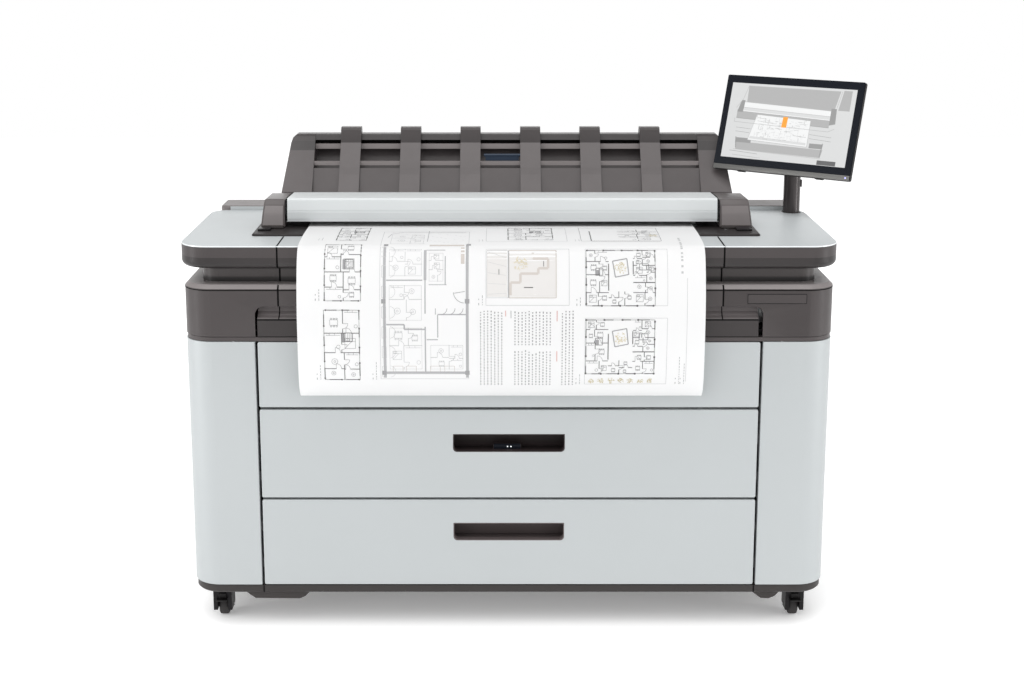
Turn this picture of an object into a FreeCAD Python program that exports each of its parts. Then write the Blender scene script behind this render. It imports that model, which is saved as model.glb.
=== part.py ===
"""Large format plotter: roll-fed printer cabinet with scanner, stacker and touch display.

Millimetres, +X to the operator's right, +Y to the rear, +Z up, floor at Z = 0.
Dimensions are written from the cabinet's middle and the drawer-front plane; every
sub-part's Placement then moves it by the same shift to the middle of the whole.
"""
import FreeCAD, Part
import math
import os
import re
import Sketcher

V = FreeCAD.Vector

DIMS = {
    # whole
    "shift_x": 60.5, "shift_y": 300.6,
    # cabinet
    "half_w": 745.0, "depth": 640.0, "corner": 68.0, "skin": 4.0,
    "base_lo": 88.0, "base_hi": 107.0, "col_lo": 110.0, "col_hi": 698.0, "col_in": 579.0,
    "frame_in": 592.0, "frame_hi": 862.0,
    "trim_lo": 699.0, "trim_hi": 708.5, "cover_lo": 710.0, "cover_hi": 818.0,
    "ledge_hi": 830.0, "neck_inset": 40.0, "slab_lo": 867.5, "slab_hi": 917.0,
    "plate_hi": 920.0, "deck_half": 750.0, "deck_y": 484.0, "rear_hi": 930.0,
    "seam_l": -525.0, "seam_r": 487.0, "seam_gap": 0.6,
    "scoop_lo": 753.0, "scoop_hi": 781.0, "scoop_half": 577.0,
    # drawers
    "front_half": 573.0, "front_t": 18.0,
    "low_lo": 110.5, "low_hi": 319.5, "upp_lo": 325.0, "upp_hi": 537.0,
    "top_lo": 543.0, "top_hi": 697.0,
    "tray_half": 552.0, "tray_y": 560.0, "wall": 3.0,
    "handle_half": 129.0, "handle_tall": 43.0, "handle_deep": 38.0,
    "upp_handle": 457.5, "low_handle": 241.5, "roll_y": 235.0,
    "roll_r": 68.0, "roll_half": 457.0, "core_r": 38.0, "spindle_r": 10.0,
    # scanner
    "tray_l": -599.0, "tray_r": 586.0, "scan_f": 121.0, "scan_b": 360.0,
    "tray_hi": 925.5, "cap_f": 202.0, "cap_b": 352.0, "cap_hi": 991.0,
    "lcap_l": -589.0, "lcap_r": -530.0, "rcap_l": 500.0, "rcap_r": 579.0,
    "lid_l": -528.0, "lid_r": 498.0, "lid_lo": 940.0, "lid_hi": 995.0,
    "glass_l": -480.0, "glass_r": 452.0, "glass_f": 228.0, "glass_b": 278.0,
    "roller_y": 240.0, "roller_z": 948.0, "roller_r": 9.0,
    "sheet_l": -475.0, "sheet_r": 439.0, "sheet_t": 0.5,
    # print engine
    "platen_z": 735.0, "rail_y": 300.0, "rail_z": 800.0, "feed_r": 20.0,
    # stacker
    "stack_l": -577.0, "stack_r": 571.0, "win_l": -500.0, "win_r": 492.0,
    "hood_y": 480.5, "hood_z": 925.0, "stack_y": 562.0, "stack_z": 940.0,
    "stack_f": 488.0, "stack_lo": 931.0, "stack_hi": 1100.0,
    "rib_first": -407.0, "rib_pitch": 155.0, "rib_half": 26.0, "rib_hi": 1118.0,
    # display
    "pole_x": 717.0, "pole_y": 456.0, "pole_r": 21.0, "pole_hi": 1066.0,
    "knuckle_z": 1092.0,
    "disp_x": 696.0, "disp_y": 433.0, "disp_z": 1148.0,
    "disp_half": 190.0, "disp_up": 114.0, "disp_down": 130.0,
    "disp_yaw": -38.0, "disp_tilt": 16.3, "rim_t": 11.0,
    # casters
    "cast_x": 684.0, "cast_f": 72.0, "cast_b": 590.0, "wheel_r": 25.0,
    "wheel_w": 21.0, "trail": 16.0,
}

doc = FreeCAD.newDocument("plotter")
sheet = doc.addObject("Spreadsheet::Sheet", "dims")
for row, (alias, value) in enumerate(DIMS.items(), start=1):
    sheet.set(f"A{row}", alias)
    sheet.set(f"B{row}", str(value))
    sheet.setAlias(f"B{row}", alias)
doc.recompute()

SUBPARTS = []
RAW = {}
COUNT = {"made": 0}


def expr(text):
    """A formula in the sheet's words, written out for an expression."""
    return re.sub(r"[a-z][a-z0-9_]*", lambda m: "dims." + m.group(0), str(text))


def dim(alias):
    return float(getattr(sheet, alias))


def fresh(stem):
    COUNT["made"] += 1
    return f"{stem}{COUNT['made']:03d}"


def body():
    return doc.addObject("PartDesign::Body", fresh("Body"))


def sketch(host, plane, points, offset):
    """A closed outline on one of the body's own planes, each corner held by the sheet."""
    face = [o for o in host.Origin.OriginFeatures if o.Role == plane][0]
    made = host.newObject("Sketcher::SketchObject", fresh("Outline"))
    made.AttachmentSupport = (face, [""])
    made.MapMode = "FlatFace"
    made.setExpression(".AttachmentOffset.Base.z", expr(offset))
    total = len(points)
    for i in range(total):
        angle = 2 * math.pi * i / total
        after = 2 * math.pi * (i + 1) / total
        made.addGeometry(Part.LineSegment(
            V(math.cos(angle), math.sin(angle), 0), V(math.cos(after), math.sin(after), 0)))
    for i in range(total):
        made.addConstraint(Sketcher.Constraint("Coincident", i, 2, (i + 1) % total, 1))
    for i, (across, up) in enumerate(points):
        held = made.addConstraint(Sketcher.Constraint("DistanceX", -1, 1, i, 1, 1.0))
        made.setExpression(f"Constraints[{held}]", expr(across))
        held = made.addConstraint(Sketcher.Constraint("DistanceY", -1, 1, i, 1, 1.0))
        made.setExpression(f"Constraints[{held}]", expr(up))
    return made


def pad(host, plane, points, low, high):
    """Material between low and high, measured along the plane's own world axis."""
    start = f"-({high})" if plane == "XZ_Plane" else low
    made = sketch(host, plane, points, start)
    feature = host.newObject("PartDesign::Pad", fresh("Pad"))
    feature.Profile = made
    feature.setExpression("Length", expr(f"({high}) - ({low})"))
    return feature


def pocket(host, plane, points, low, high):
    """An opening between low and high, measured along the plane's own world axis."""
    start = f"-({low})" if plane == "XZ_Plane" else high
    made = sketch(host, plane, points, start)
    feature = host.newObject("PartDesign::Pocket", fresh("Pocket"))
    feature.Profile = made
    feature.setExpression("Length", expr(f"({high}) - ({low})"))
    return feature


def rect(left, right, low, high):
    return [(left, low), (right, low), (right, high), (left, high)]


def edges_where(shape, test):
    return [f"Edge{i + 1}" for i, edge in enumerate(shape.Edges) if test(edge)]


def along(axis, first, second, near=0.05):
    """Picks straight edges that run along one axis through a point of the other two."""
    keep = [i for i in range(3) if i != "XYZ".index(axis)]
    point = (first, second)

    def test(edge):
        return len(edge.Vertexes) == 2 and all(
            abs(vertex.Point[k] - value) < near
            for vertex in edge.Vertexes for k, value in zip(keep, point))
    return test


def dress(host, kind, tests, size):
    """Fillets or chamfers the picked edges of the body as it stands."""
    doc.recompute()
    base = host.Tip
    names = sorted({name for test in tests for name in edges_where(base.Shape, test)})
    if not names:
        raise RuntimeError(f"no edges found on {host.Name}")
    feature = host.newObject(f"PartDesign::{kind}", fresh(kind))
    feature.Base = (base, names)
    feature.setExpression("Radius" if kind == "Fillet" else "Size", expr(size))
    doc.recompute()
    return feature


def box(x0, x1, y0, y1, z0, z1):
    made = doc.addObject("Part::Box", fresh("Box"))
    for name, low, high in (("Length", x0, x1), ("Width", y0, y1), ("Height", z0, z1)):
        made.setExpression(name, expr(f"({high}) - ({low})"))
    for name, low in (("x", x0), ("y", y0), ("z", z0)):
        made.setExpression(f".Placement.Base.{name}", expr(low))
    RAW[made.Name] = (x0, y0, z0)
    return made


TURN = {
    "X": FreeCAD.Rotation(V(0, 1, 0), 90),
    "Y": FreeCAD.Rotation(V(1, 0, 0), -90),
    "Z": FreeCAD.Rotation(),
}


def rod(axis, radius, start, end, first, second):
    """A cylinder along one axis; first and second place it on the other two."""
    made = doc.addObject("Part::Cylinder", fresh("Rod"))
    made.setExpression("Radius", expr(radius))
    made.setExpression("Height", expr(f"({end}) - ({start})"))
    made.Placement = FreeCAD.Placement(V(0, 0, 0), TURN[axis])
    base = [first, second]
    base.insert("XYZ".index(axis), start)
    for name, low in zip("xyz", base):
        made.setExpression(f".Placement.Base.{name}", expr(low))
    RAW[made.Name] = tuple(base)
    return made


def fuse(*pieces):
    made = doc.addObject("Part::MultiFuse", fresh("Fuse"))
    made.Shapes = list(pieces)
    return made


def group(*pieces):
    made = doc.addObject("Part::Compound", fresh("Group"))
    made.Links = list(pieces)
    return made


def cut(base, *tools):
    made = doc.addObject("Part::Cut", fresh("Cut"))
    made.Base = base
    made.Tool = tools[0] if len(tools) == 1 else fuse(*tools)
    return made


def part(label, made):
    """Names a finished sub-part and moves it to the middle of the whole."""
    made.Label = label
    base = RAW.get(made.Name, (0, 0, 0))
    made.setExpression(".Placement.Base.x", expr(f"{base[0]} - shift_x"))
    made.setExpression(".Placement.Base.y", expr(f"{base[1]} - shift_y"))
    SUBPARTS.append(made)
    return made


def from_shape(label, shape):
    made = doc.addObject("Part::Feature", fresh("Shape"))
    made.Shape = shape
    made.Placement = FreeCAD.Placement(V(0, 0, 0), FreeCAD.Rotation())
    return part(label, made)


HALF, CORNER = dim("half_w"), dim("corner")

# ---------------------------------------------------------------- cabinet shell
pan = body()
pad(pan, "XY_Plane", rect("-742", "742", "4", "depth + 8"), "base_lo", "base_hi")
dress(pan, "Fillet", [along("Z", s * 742, 4) for s in (-1, 1)], "corner - 4")
dress(pan, "Fillet", [along("Z", s * 742, dim("depth") + 8) for s in (-1, 1)], "30")
dress(pan, "Chamfer", [lambda e: e.BoundBox.ZMax < 88.1 and e.BoundBox.YMin < 60], "4")
pad(pan, "XY_Plane", rect("-606", "-465", "60", "300"), "base_lo - 9", "base_lo")
pad(pan, "XY_Plane", rect("565", "628", "60", "300"), "base_lo - 9", "base_lo")
part("base_pan", pan)

for label, side in (("left_column", -1), ("right_column", 1)):
    column = body()
    sign = "-" if side < 0 else ""
    outline = [
        (f"{sign}col_in", "0"), (f"{sign}half_w", "0"), (f"{sign}half_w", "depth"),
        (f"{sign}(half_w - skin)", "depth"), (f"{sign}(half_w - skin)", "skin"),
        (f"{sign}(col_in + skin)", "skin"), (f"{sign}(col_in + skin)", "26"),
        (f"{sign}col_in", "26"),
    ]
    pad(column, "XY_Plane", outline, "col_lo", "col_hi")
    dress(column, "Fillet", [along("Z", side * HALF, 0)], "corner")
    dress(column, "Fillet", [along("Z", side * (HALF - 4), 4)], "corner - skin")
    dress(column, "Fillet", [along("Z", side * dim("col_in"), 0)], "2.5")
    part(label, column)

frames = []
for side in ("-", ""):
    plate = box(f"{side}594 - 2", f"{side}594 + 2", "50", "depth - 4", "base_hi", "frame_hi")
    frames.append(plate)
    for low in ("low_lo", "upp_lo"):
        for up in ("30", "120"):
            frames.append(box(
                f"{side}577 - 15.5", f"{side}577 + 15.5", "34", "tray_y + 40",
                f"{low} + {up}", f"{low} + {up} + 22"))
part("side_frames", group(fuse(*frames[:5]), fuse(*frames[5:])))

back = body()
pad(back, "XZ_Plane", rect("-half_w + 6", "half_w - 6", "col_lo", "slab_lo - 1"),
    "depth + 0.3", "depth + 5")
dress(back, "Fillet", [along("Y", s * (HALF - 6), z) for s in (-1, 1)
                       for z in (dim("col_lo"), dim("slab_lo") - 1)], "12")
pocket(back, "XZ_Plane", rect("-526.3", "-473.7", "163.7", "201.3"), "depth - 5", "depth + 10")
for first in range(8):
    z = f"{600 + 22 * first}"
    pocket(back, "XZ_Plane", rect("330", "560", z, f"{z} + 8"), "depth - 5", "depth + 10")
part("back_panel", back)


def panel(low, high, thick="front_t"):
    """A pressed front: rounded corners and a hollow back."""
    front = body()
    pad(front, "XZ_Plane", rect("-front_half", "front_half", low, high), "0", thick)
    dress(front, "Fillet", [along("Y", s * dim("front_half"), dim(z))
                            for s in (-1, 1) for z in (low, high)], "4")
    dress(front, "Fillet", [lambda e: e.BoundBox.YMax < 0.01], "1.5")
    pocket(front, "XZ_Plane",
           rect("-front_half + 8", "front_half - 8", f"{low} + 8", f"{high} - 8"), "3", thick)
    return front


part("front_upper_panel", panel("top_lo", "top_hi"))

trim = body()
pad(trim, "XY_Plane", [
    ("-half_w + 2", "depth"), ("-half_w + 2", "2"), ("half_w - 2", "2"), ("half_w - 2", "depth"),
    ("half_w - 24", "depth"), ("half_w - 24", "24"), ("-half_w + 24", "24"),
    ("-half_w + 24", "depth")], "trim_lo", "trim_hi")
dress(trim, "Fillet", [along("Z", s * (HALF - 2), 2) for s in (-1, 1)], "corner - 2")
dress(trim, "Fillet", [along("Z", s * (HALF - 24), 24) for s in (-1, 1)], "corner - 24")
part("trim_strip", trim)

scoop = body()
pad(scoop, "YZ_Plane", [
    ("0.6", "cover_lo"), ("0.6", "scoop_lo - 3"), ("3", "scoop_lo"), ("12", "scoop_lo + 4"),
    ("19", "scoop_lo + 13"), ("22", "scoop_lo + 30"), ("26", "scoop_lo + 30"),
    ("23", "scoop_lo + 11"), ("15", "scoop_lo"), ("5", "scoop_lo - 5"), ("5", "cover_lo")],
    "-scoop_half + 5", "scoop_half - 10")
part("output_panel", scoop)


def upper_cover(side, seam):
    """One side of the dark upper band: wall, ledge and set-back neck in one moulding."""
    s = "-" if side < 0 else ""
    gap = f"{seam} {'-' if side < 0 else '+'} seam_gap / 2"
    cover = body()
    pad(cover, "XY_Plane", [
        (gap, "0"), (f"{s}half_w", "0"), (f"{s}half_w", "depth"),
        (f"{s}(half_w - skin)", "depth"), (f"{s}(half_w - skin)", "skin"), (gap, "skin")],
        "cover_lo", "cover_hi + 0.01")
    dress(cover, "Fillet", [along("Z", side * HALF, 0)], "corner")
    dress(cover, "Fillet", [along("Z", side * (HALF - 4), 4)], "corner - skin")
    pocket(cover, "XZ_Plane", [
        (gap, "cover_lo - 1"), (f"{s}scoop_half", "cover_lo - 1"),
        (f"{s}scoop_half", "scoop_hi - 16"), (f"{s}(scoop_half - 6)", "scoop_hi - 5"),
        (f"{s}(scoop_half - 18)", "scoop_hi"), (gap, "scoop_hi")], "-1", "skin + 1")
    part_two = body()
    pad(part_two, "XY_Plane", [
        (gap, "0"), (f"{s}half_w", "0"), (f"{s}half_w", "depth"), (gap, "depth")],
        "cover_hi", "ledge_hi")
    dress(part_two, "Fillet", [along("Z", side * HALF, 0)], "corner")
    top = dim("ledge_hi")
    dress(part_two, "Chamfer", [lambda e: e.BoundBox.ZMin > top - 0.01 and (
        e.BoundBox.YMax < 0.01 or abs(abs(e.BoundBox.Center.x) - HALF) < 0.01
        or (e.BoundBox.YMax < CORNER + 0.1 and abs(e.BoundBox.Center.x) > HALF - CORNER))], "9")
    pocket(part_two, "XY_Plane", [
        (gap, "neck_inset + 6"), (f"{s}(half_w - neck_inset - 6)", "neck_inset + 6"),
        (f"{s}(half_w - neck_inset - 6)", "depth + 1"), (gap, "depth + 1")],
        "cover_hi - 1", "ledge_hi + 1")
    neck = body()
    pad(neck, "XY_Plane", [
        (gap, "neck_inset"), (f"{s}(half_w - neck_inset)", "neck_inset"),
        (f"{s}(half_w - neck_inset)", "depth"), (f"{s}(half_w - neck_inset - 8)", "depth"),
        (f"{s}(half_w - neck_inset - 8)", "neck_inset + 8"), (gap, "neck_inset + 8")],
        "cover_hi", "slab_lo - 0.5")
    dress(neck, "Fillet", [along("Z", side * (HALF - 40), 40)], "corner - 28")
    dress(neck, "Fillet", [along("Z", side * (HALF - 48), 48)], "corner - 36")
    return fuse(cover, part_two, neck)


badge = body()
pad(badge, "XZ_Plane", rect("540", "675", "787", "810"), "-0.7", "0.5")
dress(badge, "Fillet", [along("Y", x, z) for x in (540, 675) for z in (787, 810)], "2")
part("upper_covers", group(upper_cover(-1, "seam_l"), fuse(upper_cover(1, "seam_r"), badge)))

slabs, plates = [], []
for side, seam in ((-1, "seam_l"), (1, "seam_r")):
    s = "-" if side < 0 else ""
    gap = f"{seam} {'-' if side < 0 else '+'} seam_gap / 2"
    inner = f"{seam} {'-' if side < 0 else '+'} 7"
    outline = [(gap, "0"), (f"{s}deck_half", "0"), (f"{s}deck_half", "deck_y"), (gap, "deck_y")]
    slab = body()
    pad(slab, "XY_Plane", outline, "slab_lo", "slab_hi")
    dress(slab, "Fillet", [along("Z", side * 750, 0)], "corner")
    dress(slab, "Fillet", [along("Z", side * 750, 484)], "40")
    floor = dim("slab_lo")
    dress(slab, "Fillet", [lambda e: e.BoundBox.ZMax < floor + 0.01 and (
        e.BoundBox.YMax < CORNER + 0.1 and abs(e.BoundBox.Center.x) > 500
        and e.BoundBox.YMin < 0.01 or abs(abs(e.BoundBox.Center.x) - 750) < 0.01)], "14")
    pocket(slab, "XY_Plane", [
        (inner, "54"), (f"{s}(deck_half - 60)", "54"), (f"{s}(deck_half - 60)", "deck_y - 8"),
        (inner, "deck_y - 8")], "slab_lo - 1", "slab_hi - 6")
    slabs.append(slab)
    plate = body()
    pad(plate, "XY_Plane", [
        (gap, "1"), (f"{s}(deck_half - 1)", "1"), (f"{s}(deck_half - 1)", "deck_y - 1"),
        (gap, "deck_y - 1")], "slab_hi", "plate_hi")
    dress(plate, "Fillet", [along("Z", side * 749, 1)], "corner - 1")
    dress(plate, "Fillet", [along("Z", side * 749, 483)], "39")
    plates.append(plate)
part("deck_fascias", group(*slabs))
part("deck_plates", group(*plates))

rear = body()
pad(rear, "XY_Plane", rect("-735", "735", "deck_y + 2", "depth + 14"), "slab_lo", "rear_hi")
dress(rear, "Fillet", [along("Z", s * 735, dim("deck_y") + 2) for s in (-1, 1)], "26")
dress(rear, "Fillet", [along("Z", s * 735, dim("depth") + 14) for s in (-1, 1)], "60")
dress(rear, "Fillet", [lambda e: e.BoundBox.ZMin > dim("rear_hi") - 0.01], "7")
pocket(rear, "YZ_Plane", [("deck_y + 10", "slab_lo - 1"), ("deck_y + 10", "rear_hi - 5"),
                          ("582", "rear_hi - 5"), ("depth + 6", "rear_hi - 27"),
                          ("depth + 6", "slab_lo - 1")], "-700", "700")
pocket(rear, "YZ_Plane", [("584", "rear_hi"), ("depth + 15", "rear_hi - 24"),
                          ("depth + 15", "rear_hi + 1"), ("584", "rear_hi + 1")],
       "-740", "740")
pivots = []
for x, side in (("-470", -1), ("432", 1)):
    for reach in (-14, 14):
        pivots.append(fuse(
            rod("X", "4.5", f"{x} + {reach} - 5.5", f"{x} + {reach} + 5.5", "hood_y", "hood_z"),
            box(f"{x} + {reach} - 5.5", f"{x} + {reach} + 5.5", "hood_y", "deck_y + 12",
                "hood_z - 4.4", "hood_z + 4.5")))
    pivots.append(rod("X", "2.5", f"{x} - 14", f"{x} + 14", "hood_y", "hood_z"))
for outer, s in (("stack_l", "-"), ("stack_r", "+")):
    pivots.append(box(f"{outer} {s} 7 - 5.5", f"{outer} {s} 7 + 5.5", "stack_y - 12", "stack_y + 12",
                      "rear_hi - 2", "stack_z + 10"))
    pivots.append(rod("X", "5", f"{outer} - 8", f"{outer} + 8", "stack_y", "stack_z"))
part("rear_top_cover", fuse(rear, *pivots))

# ---------------------------------------------------------------- drawers
for name, low, high, grip in (("upper", "upp_lo", "upp_hi", "upp_handle"),
                              ("lower", "low_lo", "low_hi", "low_handle")):
    front = panel(low, high)
    pad(front, "XZ_Plane", rect("-handle_half - 8", "handle_half + 8",
                                f"{grip} - handle_tall / 2 - 8", f"{grip} + handle_tall / 2 + 8"),
        "2.9", "front_t")
    pocket(front, "XZ_Plane", rect("-handle_half", "handle_half", f"{grip} - handle_tall / 2",
                                   f"{grip} + handle_tall / 2"), "-1", "front_t + 1")
    lip = dim(grip) - dim("handle_tall") / 2
    dress(front, "Fillet", [along("Y", s * dim("handle_half"), lip) for s in (-1, 1)], "9")
    part(f"{name}_drawer_front", front)

    cup = body()
    pad(cup, "XZ_Plane", rect("-handle_half - 6", "handle_half + 6",
                              f"{grip} - handle_tall / 2 - 6", f"{grip} + handle_tall / 2 + 6"),
        "front_t", "front_t + handle_deep")
    pocket(cup, "XZ_Plane", rect("-handle_half - 2", "handle_half + 2",
                                 f"{grip} - handle_tall / 2 - 2", f"{grip} + handle_tall / 2 + 2"),
           "front_t - 1", "front_t + handle_deep - 4")
    if name == "upper":
        sill = f"{grip} - handle_tall / 2"
        window = body()
        pad(window, "XZ_Plane", rect("-36", "28", f"{sill} + 0.5", f"{sill} + 13"), "19", "30")
        dress(window, "Fillet", [along("X", 19, lip + 13)], "6")
        part("upper_handle_cup", group(cup, window))
    else:
        part("lower_handle_cup", cup)

    axis_z = f"{low} + 100"
    tray = box("-tray_half", "tray_half", "front_t", "tray_y", f"{low} + 4", f"{low} + 186")
    room = box("-tray_half + wall", "tray_half - wall", "front_t + wall", "tray_y - wall",
               f"{low} + 4 + wall", f"{low} + 200")
    notch = box("-handle_half - 7", "handle_half + 7", "front_t - 1", "front_t + 6",
                f"{grip} - handle_tall / 2 - 7", f"{grip} + handle_tall / 2 + 7")
    extras = []
    for side in ("-", ""):
        cradle = box(f"{side}(tray_half - 15) - 12.5", f"{side}(tray_half - 15) + 12.5",
                     "roll_y - 28", "roll_y + 28", f"{low} + 6", f"{axis_z} + 14")
        bore = rod("X", "spindle_r + 0.06", f"{side}(tray_half - 15) - 14",
                   f"{side}(tray_half - 15) + 14", "roll_y", axis_z)
        slot = box(f"{side}(tray_half - 15) - 14", f"{side}(tray_half - 15) + 14",
                   "roll_y - 9.5", "roll_y + 9.5", axis_z, f"{axis_z} + 20")
        extras.append(cut(cradle, bore, slot))
    for side in ("-", ""):
        for up in ("30", "120"):
            extras.append(box(f"{side}(tray_half + 4) - 5", f"{side}(tray_half + 4) + 5",
                              "34", "tray_y - 4", f"{low} + {up} + 3", f"{low} + {up} + 19"))
    part(f"{name}_drawer_tray", fuse(cut(tray, room, notch), *extras))

    shaft = rod("X", "spindle_r", "-tray_half + 6", "tray_half - 6", "roll_y", axis_z)
    hubs = []
    for side in ("-", ""):
        hubs.append(rod("X", "roll_r + 6", f"{side}(roll_half + 8) - 6",
                        f"{side}(roll_half + 8) + 6", "roll_y", axis_z))
        hubs.append(rod("X", "core_r - 0.4", f"{side}(roll_half - 30) - 34",
                        f"{side}(roll_half - 30) + 34", "roll_y", axis_z))
    part(f"{name}_spindle", fuse(shaft, *hubs))
    part(f"{name}_paper_roll", cut(
        rod("X", "roll_r", "-roll_half", "roll_half", "roll_y", axis_z),
        rod("X", "core_r", "-roll_half - 1", "roll_half + 1", "roll_y", axis_z)))

# ---------------------------------------------------------------- print engine
platen = body()
pad(platen, "YZ_Plane", [
    ("120", "platen_z - 30"), ("124", "platen_z - 4"), ("136", "platen_z"), ("262", "platen_z"),
    ("274", "platen_z - 6"), ("274", "platen_z - 30"), ("268", "platen_z - 30"),
    ("268", "platen_z - 8"), ("128", "platen_z - 8"), ("126", "platen_z - 30")], "-560", "560")
part("platen", platen)

rail = body()
pad(rail, "YZ_Plane", [
    ("rail_y", "rail_z - 40"), ("rail_y + 50", "rail_z - 40"), ("rail_y + 50", "rail_z + 40"),
    ("rail_y", "rail_z + 40"), ("rail_y", "rail_z + 34"), ("rail_y + 44", "rail_z + 34"),
    ("rail_y + 44", "rail_z - 34"), ("rail_y", "rail_z - 34")], "-589", "589")
part("carriage_rail", fuse(rail, rod("X", "9", "-591", "591", "rail_y - 24", "rail_z"),
                           box("-589", "-581", "rail_y - 38", "rail_y + 4", "rail_z - 40", "rail_z + 40"),
                           box("581", "589", "rail_y - 38", "rail_y + 4", "rail_z - 40", "rail_z + 40")))

loops = []
for reach, tall, front, rear_face in ((566, 13.2, 12, 22), (564.6, 11.8, 11, 23)):
    loop = body()
    pad(loop, "XZ_Plane", rect(f"-{reach}", f"{reach}", f"rail_z - {tall}", f"rail_z + {tall}"),
        f"rail_y + {front}", f"rail_y + {rear_face}")
    dress(loop, "Fillet", [along("Y", x, dim("rail_z") + z) for x in (-reach, reach)
                           for z in (-tall, tall)], f"{tall} - 0.1")
    loops.append(loop)
for label, x in (("idler_pulley", "-552"), ("drive_pulley", "552")):
    part(label, fuse(rod("Y", "11.4", "rail_y + 12", "rail_y + 22", x, "rail_z"),
                     rod("Y", "13", "rail_y + 9", "rail_y + 11", x, "rail_z"),
                     rod("Y", "4", "rail_y + 2", "rail_y + 43.5", x, "rail_z")))
motor = fuse(rod("Y", "28", "rail_y + 50.2", "rail_y + 110", "552", "rail_z"),
             rod("Y", "12", "rail_y + 108", "rail_y + 116", "552", "rail_z"))
part("carriage_drive", group(cut(*loops), motor))

carriage = fuse(
    cut(box("-70", "70", "rail_y - 130", "rail_y - 4", "platen_z + 6", "rail_z + 62"),
        rod("X", "9.06", "-80", "80", "rail_y - 24", "rail_z"),
        box("-58", "58", "rail_y - 122", "rail_y - 50", "platen_z + 40", "rail_z + 70")),
    box("-50", "50", "rail_y - 112", "rail_y - 60", "platen_z + 3", "platen_z + 60"),
    box("-20", "20", "rail_y - 10", "rail_y + 11", "rail_z + 14", "rail_z + 28"))
part("print_carriage", carriage)

part("feed_roller", fuse(rod("X", "feed_r", "-540", "540", "96", "platen_z - 22"),
                         rod("X", "7", "-591", "591", "96", "platen_z - 22")))
part("service_station", cut(
    box("470", "575", "150", "256", "platen_z - 120", "platen_z - 32"),
    box("480", "565", "160", "246", "platen_z - 60", "platen_z - 30")))
part("ink_cartridges", group(*[
    box(f"{x}", f"{x + 40}", "430", "600", "585", "690") for x in range(-570, -310, 46)]))
part("electronics_box", cut(
    box("-260", "300", "540", "depth - 6", "560", "830"),
    box("-255", "295", "545", "depth - 12", "565", "825")))
part("power_inlet", fuse(
    cut(box("-526", "-474", "depth - 22", "depth + 7", "164", "201"),
        box("-516", "-484", "depth - 16", "depth + 8", "172", "193")),
    *[box(f"{x - 1}", f"{x + 1}", "depth - 17", "depth - 7", "179", "186")
      for x in (-508, -500, -492)]))

# ---------------------------------------------------------------- hood and scanner
SEAM_L, SEAM_R = "seam_l + seam_gap / 2", "seam_r - seam_gap / 2"
hood = body()
pad(hood, "YZ_Plane", [
    ("0", "scoop_hi"), ("0", "cover_hi + 3"), ("9", "ledge_hi"), ("neck_inset", "ledge_hi"),
    ("neck_inset", "slab_lo"), ("14", "slab_lo"), ("4", "slab_lo + 4"), ("0", "slab_lo + 14"),
    ("0", "slab_hi"), ("deck_y - 3", "slab_hi"), ("deck_y - 3", "slab_hi - 6"),
    ("6", "slab_hi - 6"), ("6", "slab_lo + 16"), ("9", "slab_lo + 9"), ("16", "slab_lo + 6"),
    ("neck_inset + 6", "slab_lo + 6"), ("neck_inset + 6", "ledge_hi - 6"),
    ("12", "ledge_hi - 6"), ("5", "cover_hi"), ("5", "scoop_hi")], SEAM_L, SEAM_R)
dress(hood, "Fillet", [along("X", 4, dim("slab_lo") + 4)], "8")
pocket(hood, "XY_Plane", rect("glass_l - 8", "glass_r + 8", "glass_f - 8", "glass_b + 8"),
       "slab_hi - 10", "slab_hi + 1")
part("hood_shell", hood)
top = body()
pad(top, "XY_Plane", rect(SEAM_L, SEAM_R, "1", "deck_y - 3"), "slab_hi", "plate_hi")
pocket(top, "XY_Plane", rect("glass_l - 8", "glass_r + 8", "glass_f - 8", "glass_b + 8"),
       "slab_hi - 1", "plate_hi + 1")
knuckles = []
for x in ("-470", "432"):
    knuckles.append(cut(
        fuse(rod("X", "4.5", f"{x} - 8", f"{x} + 8", "hood_y", "hood_z"),
             box(f"{x} - 8", f"{x} + 8", "hood_y - 16", "hood_y", "plate_hi - 0.5", "plate_hi + 3")),
        rod("X", "2.56", f"{x} - 9", f"{x} + 9", "hood_y", "hood_z")))
part("hood_plate", fuse(top, *knuckles))

bed = body()
pad(bed, "XY_Plane", rect("tray_l", "tray_r", "scan_f", "scan_b"), "plate_hi + 0.3", "tray_hi")
dress(bed, "Fillet", [along("Z", dim(x), dim("scan_f")) for x in ("tray_l", "tray_r")], "10")
pocket(bed, "XY_Plane", rect("glass_l", "glass_r", "glass_f", "glass_b"),
       "plate_hi - 1", "tray_hi + 1")
pad(bed, "XY_Plane", rect("glass_l - 6", "glass_r + 6", "glass_f - 6", "glass_f - 2"),
    "slab_hi - 4", "plate_hi + 0.4")
pad(bed, "XY_Plane", rect("glass_l - 6", "glass_r + 6", "glass_b + 2", "glass_b + 6"),
    "slab_hi - 4", "plate_hi + 0.4")
dress(bed, "Chamfer", [along("X", dim("scan_f"), dim("tray_hi"))], "3")
part("scanner_base", bed)
part("scan_glass", box("glass_l + 0.5", "glass_r - 0.5", "glass_f + 0.5", "glass_b - 0.5",
                       "tray_hi - 3", "tray_hi"))
part("scan_modules", group(*[
    box(f"{x}", f"{x + 180}", f"{y}", f"{y + 20}", "878", "tray_hi - 3.6")
    for x, y in ((-478, 229), (-296, 255), (-114, 229), (68, 255), (250, 229))]))

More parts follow.
